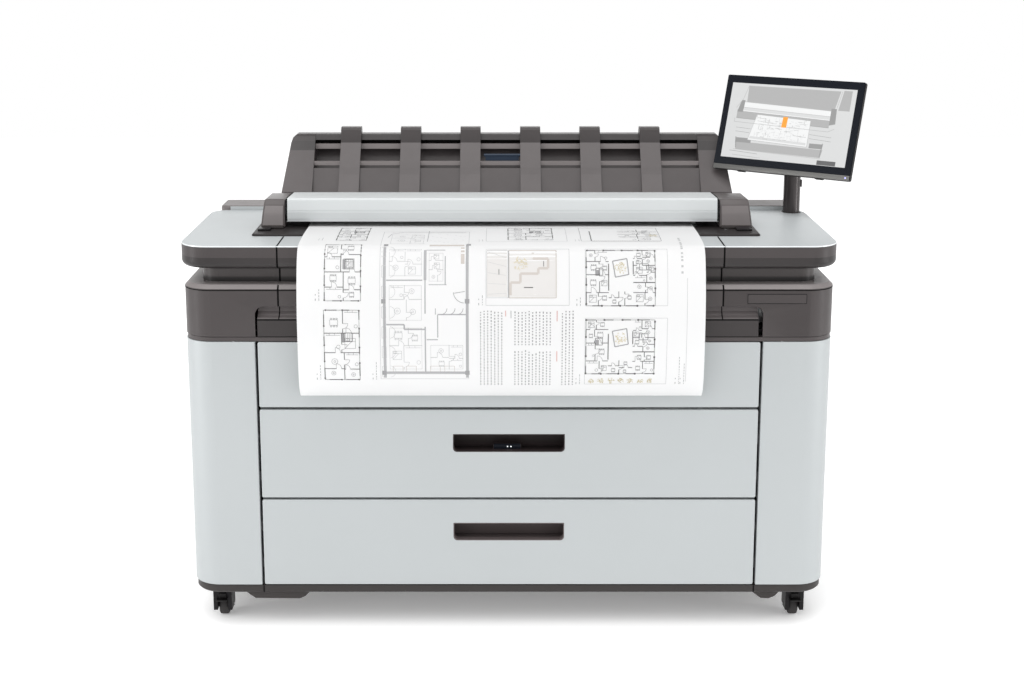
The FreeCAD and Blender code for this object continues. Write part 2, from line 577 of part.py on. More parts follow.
CAP = [("cap_f", "tray_hi"), ("cap_f + 3", "cap_hi - 7"), ("cap_f + 12", "cap_hi"),
       ("cap_b - 12", "cap_hi - 4"), ("cap_b", "cap_hi - 18"), ("cap_b", "tray_hi")]
for label, low, high, outer in (("left_scanner_cap", "lcap_l", "lcap_r", "lcap_l"),
                                ("right_scanner_cap", "rcap_l", "rcap_r", "rcap_r")):
    cap = body()
    pad(cap, "YZ_Plane", CAP, low, high)
    far = dim(outer)
    crest = dim("tray_hi") + 1
    dress(cap, "Chamfer", [lambda e: abs(e.BoundBox.XMin - far) < 0.01
                           and abs(e.BoundBox.XMax - far) < 0.01
                           and e.BoundBox.ZMax > crest], "6")
    part(label, cut(cap, rod("X", "4.06", "lid_l - 16", "lid_r + 16", "roller_y", "roller_z"),
                    rod("X", "4.06", "lid_l - 16", "lid_r + 16", "cap_b - 14", "lid_lo + 12")))

lid = body()
pad(lid, "YZ_Plane", [
    ("cap_f + 3", "lid_lo"), ("cap_f + 1", "lid_lo + 23"), ("cap_f + 5", "lid_hi - 4"),
    ("cap_f + 11", "lid_hi"), ("cap_b - 14", "lid_hi - 6"), ("cap_b - 2", "lid_hi - 16"),
    ("cap_b - 2", "lid_lo"), ("cap_b - 5", "lid_lo"), ("cap_b - 5", "lid_hi - 18"),
    ("cap_b - 15", "lid_hi - 10"), ("cap_f + 12", "lid_hi - 4"), ("cap_f + 8", "lid_hi - 7"),
    ("cap_f + 5", "lid_lo + 23"), ("cap_f + 7", "lid_lo")], "lid_l", "lid_r")
hinge_bar = cut(
    box("lid_l", "lid_r", "cap_b - 22", "cap_b - 6", "lid_lo + 4", "lid_lo + 20"),
    rod("X", "3", "lid_l - 1", "lid_r + 1", "cap_b - 14", "lid_lo + 12"))
pins = rod("X", "4", "lid_l - 12", "lid_r + 12", "cap_b - 14", "lid_lo + 12")
webs = [box(f"{x}", f"{x} + 3", "cap_f + 40", "cap_b - 4", "lid_lo + 19", "lid_hi - 8")
        for x in ("lid_l", "lid_r - 3", "-16")]
part("scanner_lid", fuse(lid, hinge_bar, pins, *webs))
part("scan_roller", fuse(
    rod("X", "4", "lid_l - 12", "lid_r + 12", "roller_y", "roller_z"),
    *[rod("X", "roller_r", f"{x}", f"{x + 60}", "roller_y", "roller_z")
      for x in range(-500, 430, 110)]))


def draped_sheet():
    """Thin curved sheet from the scanner slot over the front of the hood."""
    path = [(330, 927.4), (230, 927.4), (121, 928.4), (60, 926.4), (16, 923.6), (-7, 917.6), (-24, 899),
            (-38, 864), (-48, 820), (-53, 770), (-53, 710), (-51, 660), (-46, 622), (-36, 594),
            (-20, 578), (-5, 573)]
    thick = dim("sheet_t")
    under, over = [], []
    for i, (y, z) in enumerate(path):
        before = path[max(i - 1, 0)]
        after = path[min(i + 1, len(path) - 1)]
        run = math.hypot(after[0] - before[0], after[1] - before[1])
        ny, nz = (after[1] - before[1]) / run, -(after[0] - before[0]) / run
        under.append(V(dim("sheet_l"), y - ny * thick / 2, z - nz * thick / 2))
        over.append(V(dim("sheet_l"), y + ny * thick / 2, z + nz * thick / 2))
    lower, upper = Part.BSplineCurve(), Part.BSplineCurve()
    lower.interpolate(under)
    upper.interpolate(over)
    wire = Part.Wire([
        lower.toShape(), Part.makeLine(under[-1], over[-1]),
        upper.toShape(), Part.makeLine(over[0], under[0])])
    return Part.Face(wire).extrude(V(dim("sheet_r") - dim("sheet_l"), 0, 0))


from_shape("hanging_sheet", draped_sheet())

# ---------------------------------------------------------------- stacker
WING = [("stack_f", "stack_lo"), ("stack_f", "966"), ("598", "1095"), ("606", "stack_hi"),
        ("640", "stack_hi"), ("640", "1085"), ("568", "936"), ("562", "stack_lo")]
wings = []
for side, outer, inner in ((-1, "stack_l", "win_l"), (1, "stack_r", "win_r")):
    wing = body()
    pad(wing, "YZ_Plane", WING, *((outer, inner) if side < 0 else (inner, outer)))
    s = "+" if side < 0 else "-"
    t = "-" if side < 0 else "+"
    pocket(wing, "XZ_Plane", [
        (f"{outer}", "966"), (f"{outer} {s} 15", "1080"), (f"{outer} {s} 19", "1092"),
        (f"{outer} {s} 30", "stack_hi + 1"), (f"{outer} {t} 20", "stack_hi + 1"),
        (f"{outer} {t} 20", "966")], "450", "700")
    wings.append(wing)
beam = body()
pad(beam, "YZ_Plane", [("594", "1086"), ("606", "stack_hi"), ("640", "stack_hi"),
                       ("640", "1086")], "win_l - 1", "win_r + 1")
apron = body()
pad(apron, "YZ_Plane", [
    ("stack_f + 6", "stack_lo"), ("stack_f + 6", "958"), ("538", "1020"), ("546", "1014"),
    ("506", "952"), ("506", "stack_lo + 6"), ("558", "stack_lo + 6"), ("634", "1088"),
    ("640", "1086"), ("568", "936"), ("562", "stack_lo")], "win_l - 1", "win_r + 1")
bores = [rod("X", "5.06", f"{outer} - 9", f"{outer} + 9", "stack_y", "stack_z")
         for outer in ("stack_l", "stack_r")]
part("stacker_frame", cut(fuse(*wings, beam, apron), *bores))

RIB = [("stack_f + 1", "stack_lo + 2"), ("stack_f - 4", "962"), ("584", "1078"), ("594", "1112"),
       ("602", "rib_hi"), ("626", "rib_hi"), ("634", "1108"), ("634", "stack_hi + 1"),
       ("604", "stack_hi + 1.5"), ("589", "1085"), ("533", "1022"), ("490", "960"),
       ("490", "stack_lo + 2")]
ribs = []
for i in range(6):
    rib = body()
    middle = f"rib_first + {i} * rib_pitch"
    pad(rib, "YZ_Plane", RIB, f"{middle} - rib_half", f"{middle} + rib_half")
    ribs.append(rib)
part("stacker_ribs", group(*ribs))
part("stacker_bars", group(
    box("win_l + 0.3", "win_r - 0.3", "592", "602", "1063", "1076"),
    box("win_l + 0.3", "win_r - 0.3", "548", "558", "1026", "1036")))
part("stacker_latch", fuse(
    box("-58", "28", "560", "566", "1036", "1050"),
    rod("X", "4", "-62", "32", "563", "1050")))

# ---------------------------------------------------------------- display
pole = fuse(rod("Z", "pole_r", "plate_hi", "pole_hi", "pole_x", "pole_y"),
            rod("Z", "pole_r + 3", "plate_hi", "plate_hi + 2", "pole_x", "pole_y"))
part("display_pole", pole)

YAW, TILT = math.radians(dim("disp_yaw")), math.radians(dim("disp_tilt"))
RIGHT = V(math.cos(YAW), math.sin(YAW), 0)
LEVEL = V(math.sin(YAW), -math.cos(YAW), 0)
UP = V(0, 0, 1) * math.cos(TILT) - LEVEL * math.sin(TILT)
OUT = RIGHT.cross(UP)
FACING = FreeCAD.Rotation(RIGHT, OUT * -1, UP)
CENTRE = V(dim("disp_x"), dim("disp_y"), dim("disp_z"))


def aim(made):
    """Turns a display piece from upright and square to its yaw and tilt."""
    made.Placement = FreeCAD.Placement(CENTRE, FACING)
    RAW[made.Name] = (f"{CENTRE.x}", f"{CENTRE.y}")
    made.setExpression(".Placement.Base.z", expr("disp_z"))
    return made


ears = [cut(box(f"{x} - 3", f"{x} + 3", "-9", "9", "pole_hi + 11", "knuckle_z + 9"),
            rod("X", "5", f"{x} - 5", f"{x} + 5", "0", "knuckle_z")) for x in ("-18", "18")]
collar = fuse(rod("Z", "pole_r + 2", "pole_hi + 0.4", "pole_hi + 12", "0", "0"), *ears)
collar.Placement = FreeCAD.Placement(V(0, 0, 0), FreeCAD.Rotation(V(0, 0, 1), dim("disp_yaw")))
RAW[collar.Name] = ("pole_x", "pole_y")
part("display_collar", collar)

shell = body()
pad(shell, "XZ_Plane", rect("-disp_half", "disp_half", "-disp_down", "disp_up"), "1.5", "rim_t")
dress(shell, "Fillet", [along("Y", s * 190, z) for s in (-1, 1) for z in (-130, 114)], "5")
pad(shell, "XZ_Plane", rect("-120", "120", "-52", "70"), "rim_t - 0.1", "rim_t + 16")
dress(shell, "Fillet", [along("Y", x, z) for x in (-120, 120) for z in (-52, 70)], "12")
dress(shell, "Chamfer", [lambda e: e.BoundBox.YMin > dim("rim_t") + 15.9], "8")
pad(shell, "XZ_Plane", rect("-disp_half + 1", "disp_half - 1", "-disp_down + 0.5",
                            "-disp_down + 13.5"), "-0.5", "1.6")
part("display_shell", aim(shell))
face = body()
pad(face, "XZ_Plane", rect("-disp_half + 1", "disp_half - 1", "-disp_down + 14", "disp_up - 1"),
    "0", "1.5")
part("display_glass", aim(face))
knuckle = V(dim("pole_x"), dim("pole_y"), dim("knuckle_z")) - CENTRE
KX, KY, KZ = knuckle.dot(RIGHT), knuckle.dot(OUT * -1), knuckle.dot(UP)
arm = fuse(rod("X", "11", f"{KX} - 14.5", f"{KX} + 14.5", f"{KY}", f"{KZ}"),
           rod("X", "4.95", f"{KX} - 21", f"{KX} + 21", f"{KY}", f"{KZ}"),
           box(f"{KX} - 12", f"{KX} + 12", "rim_t + 17", f"{KY}", f"{KZ} - 9", f"{KZ} + 9"),
           box("-30", "30", "rim_t + 16.1", "rim_t + 20", "-50", "-8"))
part("display_arm", aim(arm))

# ---------------------------------------------------------------- casters
for name, x, y in (("front_left", "-cast_x", "cast_f"), ("front_right", "cast_x", "cast_f"),
                   ("rear_left", "-cast_x", "cast_b"), ("rear_right", "cast_x", "cast_b")):
    plate = rod("Z", "20", "base_lo - 10", "base_lo - 0.3", x, y)
    yoke = cut(box(f"{x} - 22", f"{x} + 22", f"{y} - 18", f"{y} + trail + 14", "22",
                   "base_lo - 9"),
               box(f"{x} - 12.5", f"{x} + 12.5", f"{y} - 40", f"{y} + 60", "-1",
                   "wheel_r * 2 + 4"))
    axle = rod("X", "4", f"{x} - 21", f"{x} + 21", f"{y} + trail", "wheel_r")
    part(f"{name}_fork", fuse(plate, yoke, axle))
    wheel = cut(rod("X", "wheel_r", f"{x} - wheel_w / 2", f"{x} + wheel_w / 2",
                    f"{y} + trail", "wheel_r"),
                rod("X", "4.05", f"{x} - 20", f"{x} + 20", f"{y} + trail", "wheel_r"))
    part(f"{name}_wheel", wheel)

# ---------------------------------------------------------------- check and write
doc.recompute()
for item in doc.Objects:
    if {"Invalid", "Error"} & set(item.State):
        raise RuntimeError(f"{item.Name} ({item.Label}) has a failed state: {item.State}")
os.makedirs("parts", exist_ok=True)
for item in SUBPARTS:
    shape = item.Shape
    if shape.isNull() or not shape.isValid() or not shape.Solids:
        raise RuntimeError(f"{item.Label} has no valid solid")
    shape.exportStep(f"parts/{item.Label}.step")
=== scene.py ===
import math
import random
from bisect import bisect_right

import bmesh
import bpy
from mathutils import Matrix, Vector
from mathutils.bvhtree import BVHTree


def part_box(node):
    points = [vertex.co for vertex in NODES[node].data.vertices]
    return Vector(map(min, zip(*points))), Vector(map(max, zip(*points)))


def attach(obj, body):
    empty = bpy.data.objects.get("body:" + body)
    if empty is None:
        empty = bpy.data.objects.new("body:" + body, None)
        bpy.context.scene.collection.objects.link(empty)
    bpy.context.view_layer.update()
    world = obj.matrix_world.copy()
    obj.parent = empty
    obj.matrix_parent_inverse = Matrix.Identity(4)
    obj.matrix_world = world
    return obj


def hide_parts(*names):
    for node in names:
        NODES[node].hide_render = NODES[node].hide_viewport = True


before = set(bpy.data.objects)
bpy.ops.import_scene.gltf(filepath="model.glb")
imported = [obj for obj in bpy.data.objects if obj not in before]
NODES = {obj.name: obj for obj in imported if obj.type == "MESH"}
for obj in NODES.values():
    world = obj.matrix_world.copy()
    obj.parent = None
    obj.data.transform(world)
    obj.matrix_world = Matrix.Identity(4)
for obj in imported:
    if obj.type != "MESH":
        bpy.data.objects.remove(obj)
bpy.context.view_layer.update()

# Cabinet millimetres: X from the cabinet's middle, Y from the drawer fronts, Z from the floor.
LEFT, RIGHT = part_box("left_column"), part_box("right_column")
MID_X = (LEFT[0][0] + RIGHT[1][0]) / 2
FRONT_Y = LEFT[0][1]


def at(x, y, z):
    """A point of the frame, in metres, from cabinet millimetres."""
    return Vector((MID_X + x / 1000, FRONT_Y + y / 1000, z / 1000))


# -------- materials
def tuned(node, **values):
    """A shader node with some of its inputs set; an underscore stands for a space."""
    for key, value in values.items():
        node.inputs[key.replace("_", " ")].default_value = value
    return node


def shader_of(mat):
    """A finish's main shader node."""
    return mat.node_tree.nodes["Principled BSDF"]


def surface(name, colour, rough, metallic=0.0, grain=900.0, bump=0.05, mottle=0.04,
            cloud=6.0, rough_spread=0.06, stretch=(1, 1, 1), wear=0.0, spec=0.5,
            belts=()):
    """A procedural finish: clouded colour, varied roughness, fine surface grain, worn edges.

    Each belt (low, high, colour) is a band of another shade between two heights in metres.
    """
    mat = bpy.data.materials.new(name)
    mat.use_nodes = True
    nodes, links = mat.node_tree.nodes, mat.node_tree.links
    shader = tuned(shader_of(mat), Metallic=metallic, Specular_IOR_Level=spec)

    def new(kind, **values):
        return tuned(nodes.new(f"ShaderNode{kind}"), **values)

    coords = new("TexCoord")
    mapping = new("Mapping", Scale=stretch)
    links.new(coords.outputs["Object"], mapping.inputs["Vector"])

    def noise(scale, detail=3.0):
        made = new("TexNoise", Scale=scale, Detail=detail)
        links.new(mapping.outputs["Vector"], made.inputs["Vector"])
        return made.outputs["Fac"]

    ramp = new("ValToRGB")
    dull, bright = ramp.color_ramp.elements
    dull.position, bright.position = 0.3, 0.7
    dull.color = (*[c * (1 - mottle) for c in colour], 1)
    bright.color = (*[min(c * (1 + mottle), 1) for c in colour], 1)
    links.new(noise(cloud), ramp.inputs["Fac"])
    tint = ramp.outputs["Color"]

    def mixed(factor, shade):
        """The tint so far, with another shade wherever the factor is high."""
        made = new("Mix")
        made.data_type = "RGBA"
        made.inputs["B"].default_value = (*shade, 1)
        links.new(factor, made.inputs["Factor"])
        links.new(tint, made.inputs["A"])
        return made.outputs["Result"]

    for low, high, shade in belts:
        split = new("SeparateXYZ")
        links.new(coords.outputs["Object"], split.inputs["Vector"])
        inside = new("Math")
        inside.operation = "COMPARE"
        inside.inputs[1].default_value = (low + high) / 2
        inside.inputs[2].default_value = (high - low) / 2
        links.new(split.outputs["Z"], inside.inputs[0])
        tint = mixed(inside.outputs["Value"], shade)
    if wear:
        edge = new("MapRange", From_Min=0.52, From_Max=0.62, To_Max=wear)
        links.new(new("NewGeometry").outputs["Pointiness"], edge.inputs["Value"])
        tint = mixed(edge.outputs["Result"], [min(c * 1.8 + 0.03, 1) for c in colour])
    links.new(tint, shader.inputs["Base Color"])
    spread = new("MapRange", To_Min=max(rough - rough_spread, 0.02), To_Max=rough + rough_spread)
    links.new(noise(cloud * 9), spread.inputs["Value"])
    links.new(spread.outputs["Result"], shader.inputs["Roughness"])
    raised = new("Bump", Strength=bump, Distance=0.0004)
    links.new(noise(grain, 2.0), raised.inputs["Height"])
    links.new(raised.outputs["Normal"], shader.inputs["Normal"])
    return mat


def glowing(name, colour, strength, base=None):
    """A lit surface, with a faint unevenness over it."""
    mat = surface(name, base or colour, 0.35, bump=0.0, mottle=0.02)
    tuned(shader_of(mat), Emission_Color=(*colour, 1), Emission_Strength=strength)
    return mat


def moulding(name, colour, rough, **traits):
    """Moulded plastic: a fine texture, slightly clouded and rubbed at its edges."""
    usual = {"grain": 700, "bump": 0.25, "mottle": 0.05, "cloud": 5.0, "wear": 0.2, "spec": 0.4}
    return surface(name, colour, rough, **(usual | traits))


def lacquer(name, colour, rough, **traits):
    """Smooth painted metal."""
    usual = {"grain": 1400, "mottle": 0.015, "rough_spread": 0.04, "spec": 0.4}
    return surface(name, colour, rough, **(usual | traits))


MAT = {
    "silver": lacquer("silver_lacquer", (0.442, 0.466, 0.473), 0.42, metallic=0.2, cloud=2.2),
    "deck": lacquer("deck_lacquer", (0.49, 0.515, 0.523), 0.46, metallic=0.1, bump=0.04,
                    cloud=2.5, spec=0.12),
    # edge: a bright lacquer that paints a highlight along the deck plate's edge; the deck edge
    # strips wear it.
    "edge": surface("deck_edge_painted_highlight", (0.84, 0.87, 0.88), 0.25, metallic=0.3, bump=0.02,
                    mottle=0.01),
    "lid": lacquer("lid_lacquer", (0.65, 0.675, 0.68), 0.36, metallic=0.15, grain=1200,
                   bump=0.04, mottle=0.012, cloud=3.0),
    # lid_low: the lid lacquer a shade darker, painted shade on the lid's lower front band.
    "lid_low": lacquer("lid_lower_painted_shade", (0.59, 0.615, 0.62), 0.36, metallic=0.15, grain=1200,
                       bump=0.04, mottle=0.012, cloud=3.0, rough_spread=0.06),
    "dark": moulding("dark_moulding", (0.048, 0.040, 0.040), 0.42, bump=0.28, mottle=0.06),
    "base": moulding("base_moulding", (0.024, 0.020, 0.019), 0.48, bump=0.28, mottle=0.06,
                     spec=0.35),
    # inner: its belt is a lighter band from 752 to 790 mm, a painted highlight on the scoop above
    # the output panel.
    "inner": moulding("inner_moulding_and_painted_highlight", (0.036, 0.031, 0.031), 0.45, cloud=4.0, wear=0.0,
                      spec=0.35, belts=((0.752, 0.790, (0.13, 0.115, 0.115)),)),
    # bed: a dark moulding made nearly black, partly its own colour and partly painted shadow under
    # the lid.
    "bed": moulding("bed_moulding_painted_shadow", (0.018, 0.015, 0.015), 0.5, cloud=4.0, spec=0.25),
    "rear": moulding("rear_moulding", (0.15, 0.134, 0.133), 0.45, cloud=4.0, spec=0.3),
    # band: its belts paint light and shade by height: the darker lower bullnose (860 to 893 mm) is
    # painted shade, the near-black line under the neck (830 to 840 mm) is painted shadow, and the
    # lighter neck middle (843 to 859 mm) and the light ledge chamfer (821 to 830 mm) are painted
    # highlights.
    "band": moulding("band_moulding_painted_light", (0.041, 0.034, 0.034), 0.40, cloud=4.0,
                     belts=((0.860, 0.8932, (0.014, 0.011, 0.011)),
                            (0.8304, 0.840, (0.010, 0.009, 0.009)),
                            (0.843, 0.859, (0.066, 0.057, 0.056)),
                            (0.8212, 0.8302, (0.230, 0.208, 0.206)))),
    "cap": moulding("cap_moulding", (0.085, 0.073, 0.072), 0.38, wear=0.25, spec=0.45),
    # cap_face_right_painted_shade: the cap face moulding a shade darker, painted shade on the
    # right cap's face.
    "cap_face_right_painted_shade": moulding("cap_face_right_painted_shade", (0.178, 0.160, 0.159), 0.34, bump=0.2,
                               cloud=8.0, wear=0.0, spec=0.5),
    "cap_face": moulding("cap_face_moulding", (0.205, 0.186, 0.185), 0.34, bump=0.2,
                         cloud=8.0, wear=0.0, spec=0.5),
    # stacker: its belts darken the frame above 1062 mm, painted shade on the upper wing and
    # between the bars.
    "stacker": moulding("stacker_moulding_painted_shade", (0.070, 0.060, 0.060), 0.42, grain=650,
                        mottle=0.06, wear=0.3,
                        belts=((1.085, 1.140, (0.022, 0.018, 0.018)),
                               (1.062, 1.0848, (0.012, 0.010, 0.010)))),
    # rib: its belt darkens the rib tops above 1080 mm, painted shade.
    "rib": moulding("rib_moulding_painted_shade", (0.076, 0.066, 0.066), 0.40, grain=650, mottle=0.06,
                    wear=0.3, belts=((1.080, 1.140, (0.015, 0.012, 0.012)),)),
    "bar": surface("bar_moulding", (0.24, 0.215, 0.212), 0.42, grain=500, bump=0.15, mottle=0.05),
    "black": surface("black_moulding", (0.007, 0.006, 0.007), 0.38, grain=800, bump=0.2,
                     mottle=0.08, wear=0.1, spec=0.2),
    "gap": surface("shadow_gap", (0.004, 0.004, 0.004), 0.8, grain=300, bump=0.1, spec=0.05),
    # cup: a moulding lightened to paint light into the lower handle's shaded recess.
    "cup": moulding("cup_moulding_painted_light", (0.105, 0.086, 0.085), 0.55, cloud=6.0, wear=0.0, spec=0.3),
    "recess": moulding("recess_moulding", (0.034, 0.025, 0.025), 0.5, bump=0.2, cloud=6.0,
                       wear=0.0, spec=0.3),
    "pole": surface("pole_lacquer", (0.050, 0.043, 0.043), 0.24, metallic=0.35, grain=600,
                    mottle=0.05),
    "bezel": surface("cover_glass", (0.006, 0.008, 0.013), 0.30, grain=60, bump=0.004,
                     mottle=0.05, rough_spread=0.03, spec=0.13),
    "chin": surface("chin_metal", (0.165, 0.163, 0.157), 0.36, metallic=0.5, bump=0.12,
                    stretch=(0.05, 0.05, 1), mottle=0.05),
    "latch": surface("latch_moulding", (0.010, 0.024, 0.050), 0.4, grain=600, bump=0.1),
    "zinc": surface("zinc_sheet", (0.42, 0.43, 0.44), 0.38, metallic=0.9, grain=120, bump=0.06,
                    mottle=0.12, cloud=24.0, rough_spread=0.12),
    "tray": surface("tray_powder", (0.05, 0.05, 0.052), 0.55, grain=420, bump=0.4, mottle=0.05),
    "steel": surface("ground_steel", (0.52, 0.52, 0.53), 0.24, metallic=1.0, grain=700,
                     bump=0.08, stretch=(0.03, 1, 1)),
    "rubber": surface("roller_rubber", (0.022, 0.021, 0.021), 0.75, grain=500, bump=0.35),
    "tyre": surface("tyre_rubber", (0.036, 0.033, 0.033), 0.65, grain=380, bump=0.4, mottle=0.1,
                    spec=0.3),
    "hub": surface("hub_moulding", (0.012, 0.011, 0.011), 0.45, grain=500, bump=0.2, spec=0.2),
    "acetal": surface("acetal", (0.62, 0.61, 0.57), 0.4, grain=300, bump=0.1),
    "paper": surface("paper", (0.90, 0.90, 0.902), 0.75, grain=520, bump=0.06, mottle=0.006,
                     cloud=3.0, spec=0.25),
    "glass": surface("scan_glass", (0.55, 0.62, 0.60), 0.06, grain=40, bump=0.002, mottle=0.02,
                     rough_spread=0.02),
}
tuned(shader_of(MAT["glass"]), Transmission_Weight=0.7)

# Each ink: its colour, its unevenness, and how far it stands off the paper in millimetres.
INKS = {"ink_dark": ((0.12, 0.12, 0.12), 0.1, 0.34), "ink_mid": ((0.29, 0.29, 0.295), 0.1, 0.3),
        "ink_wall": ((0.37, 0.37, 0.38), 0.06, 0.26), "ink_pale": ((0.5, 0.5, 0.505), 0.05, 0.22),
        "ink_wash": ((0.64, 0.625, 0.612), 0.01, 0.1), "ink_tan": ((0.53, 0.49, 0.46), 0.05, 0.16),
        "ink_ochre": ((0.6, 0.53, 0.34), 0.2, 0.38), "ink_red": ((0.62, 0.34, 0.32), 0.1, 0.4)}
for ink_name, (shade, unevenness, _) in INKS.items():
    MAT[ink_name] = surface(ink_name, shade, 0.75, bump=0.0, mottle=unevenness, spec=0.2)

paper = MAT["paper"].node_tree
through = tuned(paper.nodes.new("ShaderNodeBsdfTranslucent"), Color=(0.86, 0.86, 0.85, 1))
sheer = tuned(paper.nodes.new("ShaderNodeMixShader"), Fac=0.22)
paper.links.new(shader_of(MAT["paper"]).outputs["BSDF"], sheer.inputs[1])
paper.links.new(through.outputs["BSDF"], sheer.inputs[2])
paper.links.new(sheer.outputs["Shader"], paper.nodes["Material Output"].inputs["Surface"])

FINISH = {
    "silver": "left_column right_column front_upper_panel upper_drawer_front "
              "lower_drawer_front back_panel",
    "deck": "deck_plates hood_plate",
    "lid": "scanner_lid",
    "dark": "trim_strip",
    "bed": "scanner_base",
    "rear": "rear_top_cover",
    "base": "base_pan",
    "inner": "output_panel",
    "pole": "display_pole display_collar",
    "cap": "left_scanner_cap right_scanner_cap",
    "band": "upper_covers deck_fascias hood_shell",
    "stacker": "stacker_frame",
    "rib": "stacker_ribs",
    "bar": "stacker_bars",
    "recess": "upper_handle_cup",
    "black": "power_inlet upper_spindle lower_spindle display_shell display_arm "
             "service_station ink_cartridges print_carriage scan_modules carriage_drive "
             "front_left_fork front_right_fork rear_left_fork rear_right_fork",
    "cup": "lower_handle_cup",
    "bezel": "display_glass",
    "latch": "stacker_latch",
    "zinc": "side_frames platen electronics_box carriage_rail",
    "tray": "upper_drawer_tray lower_drawer_tray",
    "rubber": "feed_roller scan_roller",
    "acetal": "idler_pulley drive_pulley",
    "glass": "scan_glass",
    "paper": "upper_paper_roll lower_paper_roll hanging_sheet",
    "tyre": "front_left_wheel front_right_wheel rear_left_wheel rear_right_wheel",
}
for finish, names in FINISH.items():
    for name in names.split():
        node = NODES[name]
        node.data.materials.clear()
        node.data.materials.append(MAT[finish])


# -------- mesh helpers
def placed(name, data):
    """A new object in the scene."""
    obj = bpy.data.objects.new(name, data)
    bpy.context.scene.collection.objects.link(obj)
    return obj


def add(name, mesh, finish, body, parent=None, smooth=None):
    """A mesh piece with its finish, riding on a body of the frame."""
    obj = placed(name, mesh)
    mesh.materials.append(MAT[finish])
    if smooth is not None:
        for face in mesh.polygons:
            face.use_smooth = True
        mesh.set_sharp_from_angle(angle=math.radians(smooth))
    if parent is not None:
        obj.parent = parent
    else:
        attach(obj, body)
    return obj


def to_mesh(name, bm):
    """A mesh from the one being built, with its faces turned outwards."""
    mesh = bpy.data.meshes.new(name)
    bmesh.ops.recalc_face_normals(bm, faces=bm.faces)
    bm.to_mesh(mesh)
    bm.free()
    return mesh


def piece(name, bm, finish, body, **more):
    """The mesh being built becomes a piece; the mesh is used up."""
    return add(name, to_mesh(name, bm), finish, body, **more)


def block(bm, low, high, round_by=0.0008, matrix=None, segments=2):
    """A softened block between two corners, added to a mesh being built."""
    low, high = Vector(low), Vector(high)
    size = high - low
    place = Matrix.Translation((low + high) / 2) @ Matrix.Diagonal((*size, 1))
    if matrix is not None:
        place = matrix @ place
    verts = bmesh.ops.create_cube(bm, size=1.0, matrix=place)["verts"]
    bmesh.ops.bevel(bm, geom=list({e for v in verts for e in v.link_edges}),
                    offset=min(round_by, min(size) * 0.45), segments=segments, profile=0.5,
                    affect="EDGES")


def turned(bm, profile, matrix, steps=48, close=True):
    """A profile of (radius, along) turned about the local X axis, then placed by a matrix."""
    rings = []
    for i in range(steps):
        up, over = math.cos(2 * math.pi * i / steps), math.sin(2 * math.pi * i / steps)
        rings.append([bm.verts.new(matrix @ Vector((along, radius * up, radius * over)))
                      for radius, along in profile])
    count = len(profile)
    for i in range(steps):
        here, there = rings[i], rings[(i + 1) % steps]
        for j in range(count if close else count - 1):
            k = (j + 1) % count
            bm.faces.new((here[j], here[k], there[k], there[j]))


def ring(bm, outline, z, matrix):
    """The vertices of an outline laid in the local XY plane at one depth."""
    return [bm.verts.new(matrix @ Vector((x, y, z))) for x, y in outline]


def band(bm, first, second):
    """Faces between two closed loops of as many vertices."""
    for i in range(len(first)):
        j = (i + 1) % len(first)
        bm.faces.new((first[i], first[j], second[j], second[i]))


def netting(bm, rows):
    """Faces between rows of as many vertices."""
    for a, b in zip(rows, rows[1:]):
        for i in range(len(a) - 1):
            bm.faces.new((a[i], a[i + 1], b[i + 1], b[i]))


def prism(bm, outline, low, high, matrix):
    """An outline in the local XY plane, given depth from low to high along local Z."""
    bottom, top = ring(bm, outline, low, matrix), ring(bm, outline, high, matrix)
    bm.faces.new(list(reversed(bottom)))
    bm.faces.new(top)
    band(bm, bottom, top)


def round_rect(left, right, low, high, low_round, high_round=None, steps=6):
    """A rectangle's outline with rounded corners; its upper ones may have their own radius."""
    top = low_round if high_round is None else high_round
    points = []
    for cx, cy, radius, start in ((right - top, high - top, top, 0),
                                  (left + top, high - top, top, 90),
                                  (left + low_round, low + low_round, low_round, 180),
                                  (right - low_round, low + low_round, low_round, 270)):
        for i in range(steps + 1):
            angle = math.radians(start + 90 * i / steps)
            points.append((cx + radius * math.cos(angle), cy + radius * math.sin(angle)))
    return points


def pad(bm, x, y, half_x, half_y, radius, low, high, matrix):
    """A small prism with rounded corners about a point of the local XY plane."""
    outline = round_rect(x - half_x, x + half_x, y - half_y, y + half_y, radius)
    prism(bm, outline, low, high, matrix)


AXIS_X, AXIS_Z = Vector((1, 0, 0)), Vector((0, 0, 1))
REARWARD, DOWNWARD = Vector((0, 1, 0)), Vector((0, 0, -1))
# Where a ray onto the front starts, before everything.
AHEAD = -300
FACE_FRONT = Matrix(((1, 0, 0), (0, 0, 1), (0, 1, 0))).to_4x4()


def on_front(x, y, z):
    """Local X stays X, local Y becomes up, local Z becomes rearwards, from a cabinet point."""
    return Matrix.Translation(at(x, y, z)) @ FACE_FRONT


# -------- hanging sheet
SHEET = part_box("hanging_sheet")
SHEET_L, SHEET_W = SHEET[0][0], SHEET[1][0] - SHEET[0][0]
# The roll's width; where the sheet leaves the flat, starts to sway, and over how much it loosens.
ROLL_WIDE, BENDS_FROM, FREE_FROM, LOOSENS = 914, 300, 330, 300
# The drop's outline in cabinet millimetres (y, z), from under the scanner to the lower edge.
DROP = [(330, 927.4), (230, 927.4), (121, 928.4), (60, 926.4), (16, 923.6), (-7, 917.6),
        (-24, 899), (-38, 864), (-48, 820), (-53, 770), (-53, 710), (-51, 660), (-46, 622),
        (-36, 594), (-20, 578), (-5, 573)]


